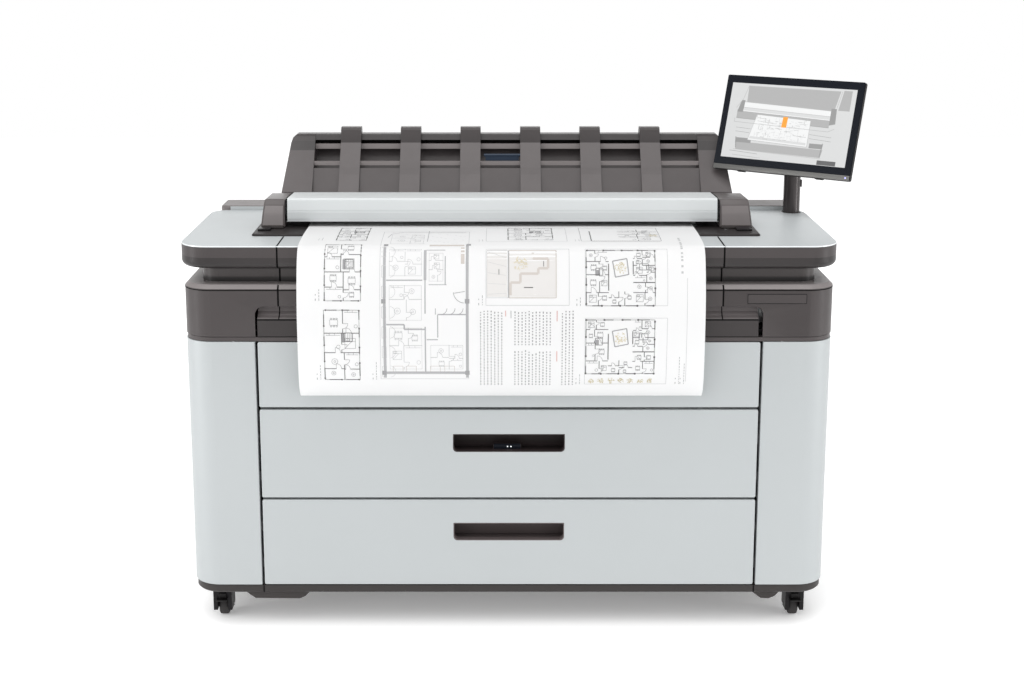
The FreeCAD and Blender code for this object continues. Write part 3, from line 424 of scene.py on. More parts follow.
def smooth_path(points, per=24):
    """A curve through the points in short steps, with the length run up to each."""
    dense = []
    for i in range(len(points) - 1):
        p0 = Vector(points[max(i - 1, 0)])
        p1, p2 = Vector(points[i]), Vector(points[i + 1])
        p3 = Vector(points[min(i + 2, len(points) - 1)])
        for k in range(per):
            t = k / per
            dense.append(0.5 * ((2 * p1) + (p2 - p0) * t + (2 * p0 - 5 * p1 + 4 * p2 - p3) * t * t
                                + (3 * p1 - p0 - 3 * p2 + p3) * t ** 3))
    dense.append(Vector(points[-1]))
    lengths = [0.0]
    for a, b in zip(dense, dense[1:]):
        lengths.append(lengths[-1] + (b - a).length)
    return dense, lengths


PATH, RUN = smooth_path(DROP)
DROP_LONG = RUN[-1]


def on_path(s):
    """(y, z) and the unit direction of the drop, s millimetres from its hidden end."""
    s = min(max(s, 0.0), DROP_LONG)
    low = min(bisect_right(RUN, s), len(RUN) - 1) - 1
    here, there = PATH[low], PATH[low + 1]
    share = (s - RUN[low]) / (RUN[low + 1] - RUN[low])
    return here.lerp(there, share), (there - here).normalized()


def on_sheet(u, s, lift=0.0):
    """A point of the sheet u millimetres from its left edge, s down its length."""
    place, along = on_path(s)
    free = max(0.0, min(1.0, (s - FREE_FROM) / LOOSENS))
    across = u / ROLL_WIDE - 0.5
    sway = free * (1.3 * math.sin(5.2 * across + 0.6) + 0.7 * math.sin(13 * across))
    z = place.y + lift * abs(along.x)
    y = place.x - (lift + sway) * max(-along.y, 0.0) if s > BENDS_FROM else place.x
    return Vector((SHEET_L + SHEET_W * u / ROLL_WIDE, FRONT_Y + y / 1000, z / 1000))


def sheet_face():
    """The sheet as one surface that follows the drop."""
    bm = bmesh.new()
    across, down = 72, 150
    netting(bm, [[bm.verts.new(on_sheet(ROLL_WIDE * i / across, DROP_LONG * j / down))
                  for i in range(across + 1)] for j in range(down + 1)])
    return to_mesh("sheet_face", bm)


sheet_obj = add("sheet_face", sheet_face(), "paper", "hood", smooth=60)
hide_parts("hanging_sheet")


class Drawing:
    """Ink strokes laid on a surface; a stroke bends with it."""

    def __init__(self, place, step):
        self.place, self.step, self.inks = place, step, {}

    def mesh(self, ink):
        if ink not in self.inks:
            self.inks[ink] = bmesh.new()
        return self.inks[ink]

    def line(self, ink, a, b, width):
        """A straight stroke from a to b in the surface's own millimetres."""
        a, b = Vector(a), Vector(b)
        run = b - a
        if run.length < 0.05:
            return
        side = Vector((-run.y, run.x)).normalized() * width / 2
        bm = self.mesh(ink)
        count = max(1, int(run.length / self.step))
        before = None
        for i in range(count + 1):
            p = a + run * i / count
            pair = [bm.verts.new(self.place(*(p + side), ink)),
                    bm.verts.new(self.place(*(p - side), ink))]
            if before:
                bm.faces.new((before[0], before[1], pair[1], pair[0]))
            before = pair

    def chain(self, ink, points, width, closed=False):
        ends = points + points[:1] if closed else points
        for a, b in zip(ends, ends[1:]):
            self.line(ink, a, b, width)

    def lines(self, ink, *strokes):
        """Straight strokes, each given as x0, y0, x1, y1, width."""
        for x0, y0, x1, y1, width in strokes:
            self.line(ink, (x0, y0), (x1, y1), width)

    def frame(self, ink, left, top, right, low, width):
        self.chain(ink, [(left, top), (right, top), (right, low), (left, low)], width, True)

    def fill(self, ink, left, top, right, low):
        self.line(ink, ((left + right) / 2, top), ((left + right) / 2, low), right - left)

    def arc(self, ink, centre, radius, start, sweep, width, steps=7):
        points = []
        for i in range(steps + 1):
            angle = math.radians(start + sweep * i / steps)
            points.append((centre[0] + radius * math.cos(angle),
                           centre[1] + radius * math.sin(angle)))
        self.chain(ink, points, width)

    def finish(self, stem, body, parent=None):
        """One piece for each ink, with the finish of the same name."""
        for ink, bm in self.inks.items():
            piece(f"{stem}_{ink}", bm, ink, body, parent=parent)


DARK, MID, WALL = "ink_dark", "ink_mid", "ink_wall"
PALE, TAN, WASH = "ink_pale", "ink_tan", "ink_wash"
ink = Drawing(lambda u, s, name: on_sheet(u, s, INKS[name][2]), 9.0)
dice = random.Random(4)


def furniture(left, top, right, low, pen, fine):
    """A bed, a table with chairs or a run of units drawn in a room."""
    wide, tall = right - left, low - top
    if min(wide, tall) < 14:
        return
    kind = dice.choice(("bed", "table", "units", "round"))
    cx, cy = left + wide * dice.uniform(0.4, 0.6), top + tall * dice.uniform(0.4, 0.6)
    reach = min(wide, tall) * 0.3

    def box(*sides):
        ink.frame(pen, *[c + reach * side for c, side in zip((cx, cy, cx, cy), sides)], fine)

    if kind == "bed":
        box(-1, -1, 1, 1)
        for x0, y0, x1 in ((-1, -0.4, 1), (-1, 1, 0.3)):
            ink.line(pen, (cx + x0 * reach, cy + y0 * reach),
                     (cx + x1 * reach, cy - 0.4 * reach), fine)
        box(-0.8, -0.9, -0.1, -0.5)
    elif kind == "table":
        box(-0.7, -0.5, 0.7, 0.5)
        for x in (-0.6, -0.1, 0.4):
            for y in (-0.8, 0.6):
                box(x, y, x + 0.25, y + 0.2)
    elif kind == "units":
        ink.line(pen, (left + 4, top + 5), (right - 3, top + 5), fine)
        for x in (left + wide * 0.3, left + wide * 0.6):
            ink.line(pen, (x, top + 1), (x, top + 5), fine)
        ink.arc(pen, (right - wide * 0.2, low - tall * 0.3), reach * 0.35, 0, 360, fine, 10)
    else:
        ink.arc(pen, (cx, cy), reach * 0.6, 0, 360, fine, 12)
        ink.arc(pen, (cx, cy), reach * 0.2, 0, 360, fine, 8)


def rooms(left, top, right, low, depth, wall, pen, fine, thick):
    """Splits a floor into rooms with doors, then furnishes them."""
    wide, tall = right - left, low - top
    if depth == 0 or max(wide, tall) < 32:
        furniture(left, top, right, low, pen, fine)
        return
    share = dice.uniform(0.38, 0.62)
    door = min(12.0, min(wide, tall) * 0.3)
    upright = wide > tall
    cut = left + wide * share if upright else top + tall * share
    start, run = (top, tall) if upright else (left, wide)
    gap = start + (run - door) * dice.uniform(0.1, 0.9)

    def spot(across, along):
        return (across, along) if upright else (along, across)

    ink.line(wall, spot(cut, start), spot(cut, gap), thick)
    ink.line(wall, spot(cut, gap + door), spot(cut, start + run), thick)
    ink.arc(pen, spot(cut, gap), door, 0, 90 if upright else -90, fine, 5)
    ink.line(pen, spot(cut, gap), spot(cut + (door if upright else -door), gap), fine)
    for half in (((left, top, cut, low), (cut, top, right, low)) if upright else
                 ((left, top, right, cut), (left, cut, right, low))):
        rooms(*half, depth - 1, wall, pen, fine, thick)


def outer_wall(left, top, right, low, wall, thick, post):
    """An outside wall broken by windows, with posts at its corners and between."""
    ink.frame(wall, left, top, right, low, thick * 0.45)
    for x0, y0, x1, y1 in ((left, top, right, top), (right, top, right, low),
                           (right, low, left, low), (left, low, left, top)):
        run = math.hypot(x1 - x0, y1 - y0)
        count = max(2, int(run / 34))
        for k in range(count):
            a = (k + dice.uniform(0.0, 0.12)) / count
            b = (k + dice.uniform(0.45, 0.8)) / count
            x, y = x0 + (x1 - x0) * a, y0 + (y1 - y0) * a
            ink.line(wall, (x, y), (x0 + (x1 - x0) * b, y0 + (y1 - y0) * b), thick)
            ink.line(DARK, (x - post / 2, y), (x + post / 2, y), post)


def small_plan(left, top, right, low):
    """A small building with a stair in its middle."""
    outer_wall(left, top, right, low, DARK, 1.9, 3.4)
    rooms(left, top, right, low, 3, DARK, MID, 0.8, 1.6)
    x = left + (right - left) * 0.5
    y = top + (low - top) * 0.32
    ink.fill(MID, x, y, x + 6, y + 22)
    ink.frame(DARK, x + 6, y, x + 24, y + 20, 1.4)
    for k in range(4):
        ink.line(MID, (x + 9 + 4 * k, y), (x + 9 + 4 * k, y + 20), 0.8)


def caption(left, low, long):
    """Plain ticks where a drawing carries its caption."""
    y = low
    while y > low - long:
        step = dice.uniform(2.5, 6.0)
        ink.line(MID, (left, y), (left, y - step), 1.1)
        y -= step + 2.2
    ink.lines(MID, (left - 8, low, left - 8, low - 5, 1.3),
              (left - 8, low - 12, left - 8, low - 15, 1.3))


def blob(cx, cy, reach):
    """A loose tree symbol of short crossing strokes."""
    for _ in range(int(reach * 3.2)):
        angle = dice.uniform(0, 2 * math.pi)
        far = reach * math.sqrt(dice.random())
        x, y = cx + far * math.cos(angle), cy + far * math.sin(angle)
        turn = dice.uniform(0, math.pi)
        ink.line("ink_ochre", (x, y), (x + 4 * math.cos(turn), y + 4 * math.sin(turn)), 1.0)


# left column of small plans
for plan in ((82, 150, 150, 288), (62, 324, 143, 461), (60, 482, 139, 645)):
    small_plan(*plan)
for place in ((50, 288, 26), (50, 461, 28), (50, 645, 34), (176, 645, 40)):
    caption(*place)

# large plan
ink.lines(WALL, (196, 330, 196, 640, 6), (381, 324, 381, 640, 6), (196, 628, 381, 628, 6))
ink.frame(PALE, 186, 200, 384, 643, 0.9)
for x, y in ((194, 628), (381, 628), (194, 462), (381, 462), (198, 326), (384, 324)):
    ink.line(MID, (x - 5, y), (x + 5, y), 10)
ink.chain(WALL, [(198, 262), (205, 226), (230, 205), (376, 205)], 1.4)
ink.lines(WALL, (290, 190, 290, 300, 1.4), (287, 345, 287, 415, 6), (287, 415, 287, 490, 2.6),
          (200, 415, 281, 415, 2.6), (290, 345, 332, 345, 1.8), (332, 360, 332, 425, 2.2),
          (287, 520, 287, 628, 3), (200, 515, 240, 515, 3.2), (240, 526, 287, 526, 3.2),
          (240, 515, 240, 526, 3.2), (315, 492, 378, 492, 2.6), (315, 492, 315, 545, 2.2),
          (290, 550, 315, 550, 2.2), (310, 478, 310, 492, 1.6), (295, 425, 335, 425, 1.6))
ink.lines(TAN, (296, 328, 374, 328, 7), (371, 328, 371, 378, 8))
for left, top, right, low in ((204, 424, 282, 508), (204, 520, 282, 622), (296, 560, 374, 622),
                              (204, 340, 282, 408), (293, 350, 330, 420), (204, 232, 284, 320)):
    rooms(left + 2, top + 2, right - 2, low - 2, 2, PALE, PALE, 0.9, 1.2)
    ink.frame(PALE, left + 3, top + 3, right - 3, low - 3, 0.7)
for y in range(336, 620, 46):
    ink.frame(PALE, 190, y, 199, y + 26, 0.9)
    ink.arc(PALE, (206, y + 13), 14, -80, 160, 0.8)
for x in (214, 244, 298, 330):
    ink.frame(TAN, x, 612, x + 22, 630, 1.0)
ink.arc(MID, (376, 440), 26, 95, 80, 1.2, 8)
ink.line(MID, (376, 440), (352, 444), 1.2)
for x in (322, 340, 358):
    ink.arc(MID, (x, 478), 14, 0, 90, 1.2, 6)
for k in range(40):
    x, y = 206 + (k * 37) % 168, 210 + (k * 53) % 110
    ink.line(PALE, (x, y), (x + 5, y + 2), 0.8)

# middle column
ink.frame(PALE, 423, 150, 607, 298, 0.9)
small_plan(473, 150, 575, 284)
caption(415, 298, 16)
ink.frame(PALE, 423, 342, 609, 471, 0.9)
ink.fill(WASH, 474, 346, 580, 452)
ink.fill(WASH, 425, 344, 470, 452)
ink.frame(TAN, 474, 346, 580, 454, 2.2)
ink.frame(PALE, 425, 346, 472, 454, 1.0)
ink.chain(TAN, [(478, 448), (478, 420), (500, 420), (500, 400), (540, 400), (540, 388),
                (562, 388), (562, 366), (528, 366), (528, 352)], 5.5)
ink.line(MID, (474, 346), (474, 454), 1.5)
for k in range(5):
    ink.line(PALE, (428, 350 + 24 * k), (468, 364 + 20 * k), 0.8)
blob(500, 376, 15)
ink.lines(DARK, (508, 431, 528, 431, 1.8), (452, 390, 452, 402, 1.4),
          (552, 372, 552, 384, 1.4))
caption(415, 471, 22)


LINE_PITCH = 7.9


def lettering_field(left, right, top, low):
    """Upright columns of short ticks where a page of running text would be."""
    x = left
    while x < right:
        y = low
        stop = top + dice.uniform(0, 5)
        while y > stop:
            step = dice.uniform(2.2, 4.4)
            ink.line(MID, (x, y), (x, y - step), 2.4)
            y -= step + 3.4
        x += LINE_PITCH


for field in ((411, 462, 483, 658), (488, 574, 483, 562), (488, 574, 576, 658),
              (594, 620, 483, 658)):
    lettering_field(*field)
ink.lines("ink_red", (582, 483, 582, 507, 1.8), (582, 576, 582, 600, 1.8),
          (467, 483, 467, 496, 1.6))
ink.line(MID, (479, 483), (479, 500), 1.4)

# right column
ink.frame(MID, 639, 150, 821, 296, 1.0)
ink.lines(DARK, (662, 190, 662, 294, 2.2), (662, 296, 819, 296, 2.2))
rooms(726, 170, 819, 292, 3, DARK, MID, 0.8, 1.6)
blob(808, 240, 10)
for top in (342, 500):
    low = top + 130
    ink.frame(PALE, 645, top, 829, low + (26 if top > 400 else 0), 0.8)
    outer_wall(647, top + 4, 801, low, DARK, 1.9, 4.0)
    ink.lines(DARK, (697, top + 36, 697, top + 96, 2), (752, top + 30, 752, top + 60, 2),
              (752, top + 78, 801, top + 78, 2))
    for wing in ((647, top + 4, 697, low, 3), (752, top + 4, 801, top + 78, 3),
                 (752, top + 78, 801, low, 2), (697, top + 98, 752, low, 2)):
        rooms(*wing, DARK, MID, 0.8, 1.5)
    ink.chain(MID, [(706, top + 30), (738, top + 24), (742, top + 60), (712, top + 66)],
              2.2, True)
    blob(724, top + 45, 13)
    ink.frame(MID, 668, top + 46, 684, top + 62, 1.6)
    ink.fill(MID, 668, top + 50, 676, top + 62)
    ink.frame(MID, 766, top + 36, 786, top + 50, 1.6)
for k in range(7):
    blob(660 + 22 * k, 646, 6)
for low, long in ((296, 16), (472, 20), (656, 26)):
    caption(634, low, long)

# margin
y = 400
while y > 262:
    ink.line(PALE, (862, y), (862, y - 5), 5)
    y -= dice.choice((7.5, 7.5, 9, 14))
ink.line(PALE, (873, 410), (873, 650), 0.8)
caption(858, 656, 64)
caption(869, 656, 50)
ink.finish("sheet_drawing", "hood", sheet_obj)

# -------- display
YAW, TILT = math.radians(-38.0), math.radians(16.3)
ACROSS = Vector((math.cos(YAW), math.sin(YAW), 0))
LEVEL = Vector((math.sin(YAW), -math.cos(YAW), 0))
RISE = AXIS_Z * math.cos(TILT) - LEVEL * math.sin(TILT)
OUT = ACROSS.cross(RISE)
CENTRE = at(696, 433, 1148)


def on_display(x, y, out=0.0):
    """A point of the display, millimetres right and up of its middle, out from its glass."""
    return CENTRE + (ACROSS * x + RISE * y + OUT * out) / 1000


# Each lit shade: its colour, its strength, the grey under it, and how far it stands off the glass.
LIT = {"lit_paper": ((0.76, 0.77, 0.77), 0.60, 0.22, 0.06),
       "lit_white": ((0.90, 0.91, 0.91), 0.66, 0.26, 0.24),
       "lit_grey": ((0.46, 0.46, 0.46), 0.62, 0.15, 0.12),
       "lit_mid": ((0.34, 0.34, 0.34), 0.62, 0.1, 0.18),
       "lit_dark": ((0.12, 0.12, 0.125), 0.62, 0.04, 0.30),
       "lit_line": ((0.55, 0.55, 0.55), 0.6, 0.15, 0.34),
       "lit_soft": ((0.74, 0.75, 0.75), 0.62, 0.22, 0.30)}
for lit_name, (shade, strength, under, _) in LIT.items():
    MAT[lit_name] = glowing(lit_name, shade, strength, (under, under, under))
MAT["lit_orange"] = glowing("lit_orange", (0.90, 0.34, 0.03), 0.75, (0.3, 0.12, 0.01))
MAT["lit_led"] = glowing("lit_led", (0.42, 0.42, 0.85), 0.9)
MAT["lit_dot"] = glowing("lit_dot", (0.95, 0.98, 1.0), 0.8)
LAYER = {name: traits[3] for name, traits in LIT.items()} | {"lit_orange": 0.38}
BOTTOM, TOP, SIDE = -112.0, 100.0, 172.0
shown = Drawing(lambda x, y, name: on_display(x, y, LAYER[name]), 400.0)


def patch(name, corners):
    """A flat shape of the display's picture."""
    bm = shown.mesh(name)
    bm.faces.new([bm.verts.new(on_display(x, y, LAYER[name])) for x, y in corners])


for name, *corners in (
        ("lit_paper", (-SIDE, BOTTOM + 14), (SIDE, BOTTOM + 14), (SIDE, TOP - 6),
         (-SIDE, TOP - 6)),
        ("lit_grey", (-122, 30), (118, 30), (130, 88), (-124, 88)),
        ("lit_grey", (130, 40), (160, 40), (160, 90), (138, 90)),
        ("lit_grey", (-146, 4), (112, -4), (112, 14), (-146, 26)),
        ("lit_white", (-130, 22), (112, 14), (112, 38), (-128, 46)),
        ("lit_mid", (-146, 20), (-130, 20), (-128, 50), (-138, 50)),
        ("lit_mid", (112, 2), (128, 6), (126, 44), (112, 44)),
        ("lit_mid", (-138, -58), (-94, -58), (-94, -46), (-138, -46)),
        ("lit_mid", (68, -58), (104, -58), (104, -46), (68, -46)),
        ("lit_grey", (-134, -76), (102, -80), (106, -60), (-136, -56)),
        ("lit_white", (-104, -50), (62, -56), (62, 10), (-88, 16)),
        ("lit_orange", (-16, -12), (-2, -12), (-1, 15), (-14, 15)),
        ("lit_dark", (96, BOTTOM + 15), (146, BOTTOM + 15), (146, BOTTOM + 26),
         (96, BOTTOM + 26))):
    patch(name, corners)
shown.lines("lit_mid", (-146, 4, 112, -4, 1.2), (-130, 22, 112, 14, 0.9),
            (-104, -50, -88, 16, 1.0), (62, -56, 62, 10, 1.0), (-104, -50, 62, -56, 1.2),
            (-150, -80, -70, -84, 1.0), (-142, -20, -100, -22, 0.8), (64, -24, 124, -28, 0.8),
            (-142, -30, -102, -32, 0.8), (64, -34, 124, -38, 0.8), (-138, -44, -134, -72, 2.4),
            (104, -44, 100, -78, 2.4))
for k in range(170):
    x, y = dice.uniform(-88, 50), dice.uniform(-46, 6)
    turn = dice.choice((0.0, 0.0, 1.57, 1.45, -0.06))
    reach = dice.uniform(3, 13)
    shown.line(dice.choice(("lit_soft", "lit_soft", "lit_line")), (x, y),
               (x + reach * math.cos(turn), y + reach * math.sin(turn)), 0.9)
patch("lit_soft", [(-129, 24), (112, 16), (112, 24), (-129, 32)])
patch("lit_soft", [(-100, -46), (58, -52), (58, -46), (-99, -40)])
for wide, strokes in (
        (1.0, ((-128, 46, 112, 38), (-129, 32, 112, 24), (-104, -50, -88, 16), (-88, 16, 62, 10),
               (62, 10, 62, -56), (62, -56, -104, -50), (-84, 8, -60, 6), (-84, 0, -40, -4),
               (20, -30, 56, -32))),
        (1.1, ((-150, 30, -134, 54), (-134, 54, -124, 88), (126, 46, 134, 88), (-150, 4, -150, -6),
               (-150, -6, 112, -14), (112, -14, 128, -6), (-140, -76, 104, -82),
               (-140, -90, -60, -94)))):
    shown.lines("lit_line", *[(*ends, wide) for ends in strokes])
shown.finish("screen", "display")

bm = bmesh.new()
TO_DISPLAY = Matrix((
    (ACROSS.x, RISE.x, OUT.x, CENTRE.x), (ACROSS.y, RISE.y, OUT.y, CENTRE.y),
    (ACROSS.z, RISE.z, OUT.z, CENTRE.z), (0, 0, 0, 1)))
block(bm, (-0.1885, -0.1292, -0.0012), (0.1885, -0.1168, 0.0013), 0.0006, TO_DISPLAY)
piece("display_chin_strip", bm, "chin", "display", smooth=40)
bm = bmesh.new()
pad(bm, 0.1785, -0.12275, 0.002, 0.00175, 0.001, 0.0013, 0.0016, TO_DISPLAY)
piece("display_power_mark", bm, "lit_led", "display")
bm = bmesh.new()
for x in (-0.108, 0.108):
    pad(bm, x, -0.13025, 0.011, 0.00225, 0.002, -0.0085, -0.0015, TO_DISPLAY)
piece("display_bumpers", bm, "rubber", "display", smooth=40)
bm = bmesh.new()
for k in range(11):
    pad(bm, 0.02 * (k - 5), 0.0475, 0.006, 0.0015, 0.0012, -0.02745, -0.0269, TO_DISPLAY)
for x in (-0.105, 0.105):
    for y in (-0.04, 0.06):
        pad(bm, x, y, 0.003, 0.003, 0.0029, -0.0276, -0.0269, TO_DISPLAY)
piece("display_back_slots", bm, "tray", "display", smooth=40)

# pole clip
bm = bmesh.new()
block(bm, at(735, 448, 985), at(741, 464, 1003), 0.0012)
piece("pole_clip", bm, "dark", "cabinet", smooth=40)

# -------- scanner details
bm = bmesh.new()
for left, right in ((-590, -560), (536, 572)):
    block(bm, at(left, 160, 925.2), at(right, 196, 930), 0.0012)
piece("scanner_foot_blocks", bm, "black", "hood", smooth=40)
bm = bmesh.new()
turned(bm, [(0.0, 0.0), (0.0046, 0.0), (0.0052, 0.0006), (0.0052, 0.0016), (0.0, 0.0016)],
       Matrix.Translation(at(513, 178, 925.3)) @ Matrix.Rotation(-math.pi / 2, 4, "Y"), 24, False)
piece("scanner_keyhole", bm, "steel", "hood", smooth=40)

# -------- drawer details
bm = bmesh.new()
for x in (-3, 5):
    pad(bm, x / 1000, 0, 0.0014, 0.0014, 0.0012, -0.0005, 0, on_front(0, 19, 443))
piece("status_lights", bm, "lit_dot", "upper_drawer", smooth=40)

# -------- blank nameplate
bm = bmesh.new()
band(bm, *[ring(bm, round_rect(-x, x, -y, y, radius), -0.0003, on_front(607.5, -0.7, 798.5))
           for x, y, radius in ((0.0672, 0.0112, 0.0016), (0.0660, 0.0100, 0.0012))])
piece("nameplate_rim", bm, "black", "cabinet")


# -------- traced lines
def skin(*names):
    """A search tree over the outer surfaces of some nodes."""
    verts, faces = [], []
    for name in names:
        node = NODES[name]
        start = len(verts)
        verts += [node.matrix_world @ v.co for v in node.data.vertices]
        faces += [[start + i for i in p.vertices] for p in node.data.polygons]
    return BVHTree.FromPolygons(verts, faces)


def traced(bm, tree, rays, across, half, lift):
    """A thin strip laid over the surface that a row of rays meets."""
    before = None
    for origin, direction in rays:
        hit, normal, _, _ = tree.ray_cast(origin, direction)
        if hit is None:
            before = None
            continue
        middle = hit + normal * lift
        pair = (middle - across * half, middle + across * half)
        if before and (before[2] - middle).length < 0.008:
            made = [bm.verts.new(p) for p in (before[0], before[1], pair[1], pair[0])]
            bm.faces.new(made)
        before = (*pair, middle)


def rearward_rays(x, heights):
    """Rays onto the front, at some heights."""
    return [(at(x, AHEAD, z), REARWARD) for z in heights]


def falling_rays(x, z_top, z_low, y_back):
    """Rays down onto the deck from back to front, then onto the front from top to bottom."""
    rays = []
    y = y_back
    while y > 1.2:
        rays.append((at(x, y, 1200), DOWNWARD))
        y -= 1.5
    z = z_top
    while z > z_low:
        rays.append((at(x, AHEAD, z), REARWARD))
        z -= 1.2
    return rays


SEAM_LEFT, SEAM_RIGHT = -525, 487
HOOD_SKIN = skin("hood_shell", "hood_plate")
bm = bmesh.new()
for x, side in ((SEAM_LEFT, 1), (SEAM_RIGHT, -1)):
    traced(bm, HOOD_SKIN, falling_rays(x + side * 1.9, 919.2, 753, 118), AXIS_X, 0.0017, 0.0002)
piece("hood_seams", bm, "gap", "hood")

WINDOW_SKIN = skin("upper_handle_cup")
bm = bmesh.new()
rows = []
for k in range(9):
    hits = [WINDOW_SKIN.ray_cast(at(x, AHEAD, 437 + 1.45 * k), REARWARD)[0]
            for x in (-35, 27)]
    rows.append([bm.verts.new(hit - Vector((0, 0.0003, 0))) for hit in hits])
netting(bm, rows)
piece("status_window_cover", bm, "bezel", "upper_drawer", smooth=50)

SCOOP_SKIN = skin("output_panel")
bm = bmesh.new()
for x in (SEAM_LEFT + 1.9, SEAM_RIGHT - 1.9):
    traced(bm, SCOOP_SKIN, rearward_rays(x, [783 - 0.8 * k for k in range(42)]), AXIS_X,
           0.0013, 0.0002)
piece("scoop_seams", bm, "gap", "cabinet")

LID_SKIN = skin("scanner_lid")
bm = bmesh.new()
for x, side in ((-528, 1), (498, -1)):
    rays = [(at(x + side * 1.6, y, 1200), DOWNWARD) for y in range(340, 203, -2)]
    rays += rearward_rays(x + side * 1.6, range(994, 940, -1))
    traced(bm, LID_SKIN, rays, AXIS_X, 0.0015, 0.0002)
piece("lid_end_gaskets", bm, "gap", "lid")
# The lid's lower front band takes the darker lid lacquer: painted shade.
bm = bmesh.new()
rays = [(at(x, AHEAD, 957), REARWARD) for x in range(-525, 496, 4)]
traced(bm, LID_SKIN, rays, AXIS_Z, 0.0105, 0.0003)
piece("lid_lower_band", bm, "lid_low", "lid")


def wrapped(bm, half, corner, front, back, low, high, span, proud):
    """A strip round the cabinet's outside, from its rear left round the front to its rear right.

    The span keeps only the part between two X positions along the front; None means no cut.
    """
    start, stop = span
    left, right = -half + corner, half - corner
    reach = corner + proud

    def turn(middle, from_angle):
        """The points of one rounded corner, without its two ends."""
        angles = [math.radians(from_angle + 90 * i / 12) for i in range(1, 12)]
        return [(middle + reach * math.cos(a), front + corner + reach * math.sin(a))
                for a in angles]

    if start is None:
        points = [(-half - proud, back), (-half - proud, front + corner), *turn(left, 180),
                  (left, front - proud)]
    else:
        points = [(start, front - proud)]
    if stop is None:
        points += [(right, front - proud), *turn(right, 270), (half + proud, front + corner),
                   (half + proud, back)]
    else:
        points.append((stop, front - proud))
    before = None
    for x, y in points:
        pair = (bm.verts.new(at(x, y, low)), bm.verts.new(at(x, y, high)))
        if before:
            bm.faces.new((before[0], pair[0], pair[1], before[1]))
        before = pair


# The deck edge strips carry a painted highlight along the deck plate's edge; the ledge lines are
# dark joints.
for stem, body, span in (("left", "cabinet", (None, SEAM_LEFT - 0.3)),
                         ("middle", "hood", (SEAM_LEFT + 0.6, SEAM_RIGHT - 0.6)),
                         ("right", "cabinet", (SEAM_RIGHT + 0.3, None))):
    for line, finish, shape in (("deck_edge", "edge", (749, 67, 1, 440, 917.6, 920.1)),
                                ("ledge_line", "gap", (745, 68, 0, 636, 817.0, 819.2))):
        bm = bmesh.new()
        wrapped(bm, *shape, span, 0.25)
        piece(f"{line}_{stem}", bm, finish, body)


bm = bmesh.new()
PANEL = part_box("output_panel")
for low_z, high_z in ((748.0, 750.9), (709.2, 710.6)):
    left, right = PANEL[0].x, PANEL[1].x
    corners = [(left, low_z), (right, low_z), (right, high_z), (left, high_z)]
    bm.faces.new([bm.verts.new((x, PANEL[0].y - 0.0002, z / 1000)) for x, z in corners])
piece("output_panel_lines", bm, "gap", "cabinet")


# -------- scanner end caps
def end_cap(name, side):
    """A cap whose sides draw in as they rise, with a paler sloping face set in its front."""
    low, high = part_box(name)
    outer, inner = (low.x, high.x) if side < 0 else (high.x, low.x)
    profile = [(low.y, low.z), (low.y + 0.0035, low.z + 0.034), (low.y + 0.010, high.z - 0.012),
               (low.y + 0.020, high.z), (high.y - 0.012, high.z - 0.004),
               (high.y, high.z - 0.018), (high.y, low.z)]

    def drawn_in(z):
        """Where the outer side stands at a height."""
        return outer - side * 0.009 * max(0.0, (z - low.z - 0.004) / (high.z - low.z - 0.004))

    bm = bmesh.new()
    outside = [bm.verts.new((drawn_in(z), y, z)) for y, z in profile]
    inside = [bm.verts.new((inner + side * 0.0012, y, z)) for y, z in profile]
    bm.faces.new(outside)
    bm.faces.new(list(reversed(inside)))
    for i in range(len(profile)):
        j = (i + 1) % len(profile)
        bm.faces.new((outside[i], inside[i], inside[j], outside[j]))
    edges = [e for e in bm.edges if (e.verts[0].co - e.verts[1].co).length > 0.004]
    bmesh.ops.bevel(bm, geom=edges, offset=0.0028, segments=3, profile=0.5, affect="EDGES")
    cap = piece(f"{name}_shell", bm, "cap", "hood", smooth=35)
    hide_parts(name)

    bm = bmesh.new()
    tree = BVHTree.FromPolygons([v.co for v in cap.data.vertices],
                                [list(p.vertices) for p in cap.data.polygons])
    rows = []
    for k in range(15):
        z = low.z + 0.006 + (high.z - low.z - 0.020) * k / 14
        left, right = sorted((drawn_in(z) - side * 0.0042, inner + side * 0.0058))
        row = []
        for m in range(5):
            x = left + (right - left) * m / 4
            hit = tree.ray_cast(Vector((x, low.y - 0.1, z)), REARWARD)[0]
            row.append(bm.verts.new(hit + Vector((0, -0.0004, 0))))
        rows.append(row)
    netting(bm, rows)
    # The right cap's face takes the darker copy of the face moulding: painted shade.
    face = piece(f"{name}_face", bm, "cap_face" if side < 0 else "cap_face_right_painted_shade", "hood",
                 smooth=50)
    face.data.set_sharp_from_angle(angle=math.radians(60))
    bm = bmesh.new()
    block(bm, (min(outer, inner) + 0.003, low.y - 0.013, low.z + 0.0002),
          (max(outer, inner) - 0.003, low.y + 0.004, low.z + 0.0045), 0.0012)
    piece(f"{name}_foot", bm, "base", "hood", smooth=40)


end_cap("left_scanner_cap", -1)
end_cap("right_scanner_cap", 1)


# -------- handle linings
# The lower lining takes the lightened cup finish: painted light in its recess.
for stem, grip, lining in (("upper", 457.5, "recess"), ("lower", 241.5, "cup")):
    matrix = on_front(0, -0.3, grip)
    outline = round_rect(-0.12885, 0.12885, -0.02135, 0.02135, 0.0088, 0.0003)
    opening = round_rect(-0.1272, 0.1272, -0.0198, 0.0198, 0.0105, 0.0035)
    bm = bmesh.new()
    loops = [ring(bm, points, z, matrix) for points, z in (
        (outline, 0.0182), (outline, 0.0), (opening, 0.0), (opening, 0.0182))]
    for a, b in zip(loops, loops[1:]):
        band(bm, a, b)
    piece(f"{stem}_handle_lining", bm, lining, f"{stem}_drawer", smooth=40)

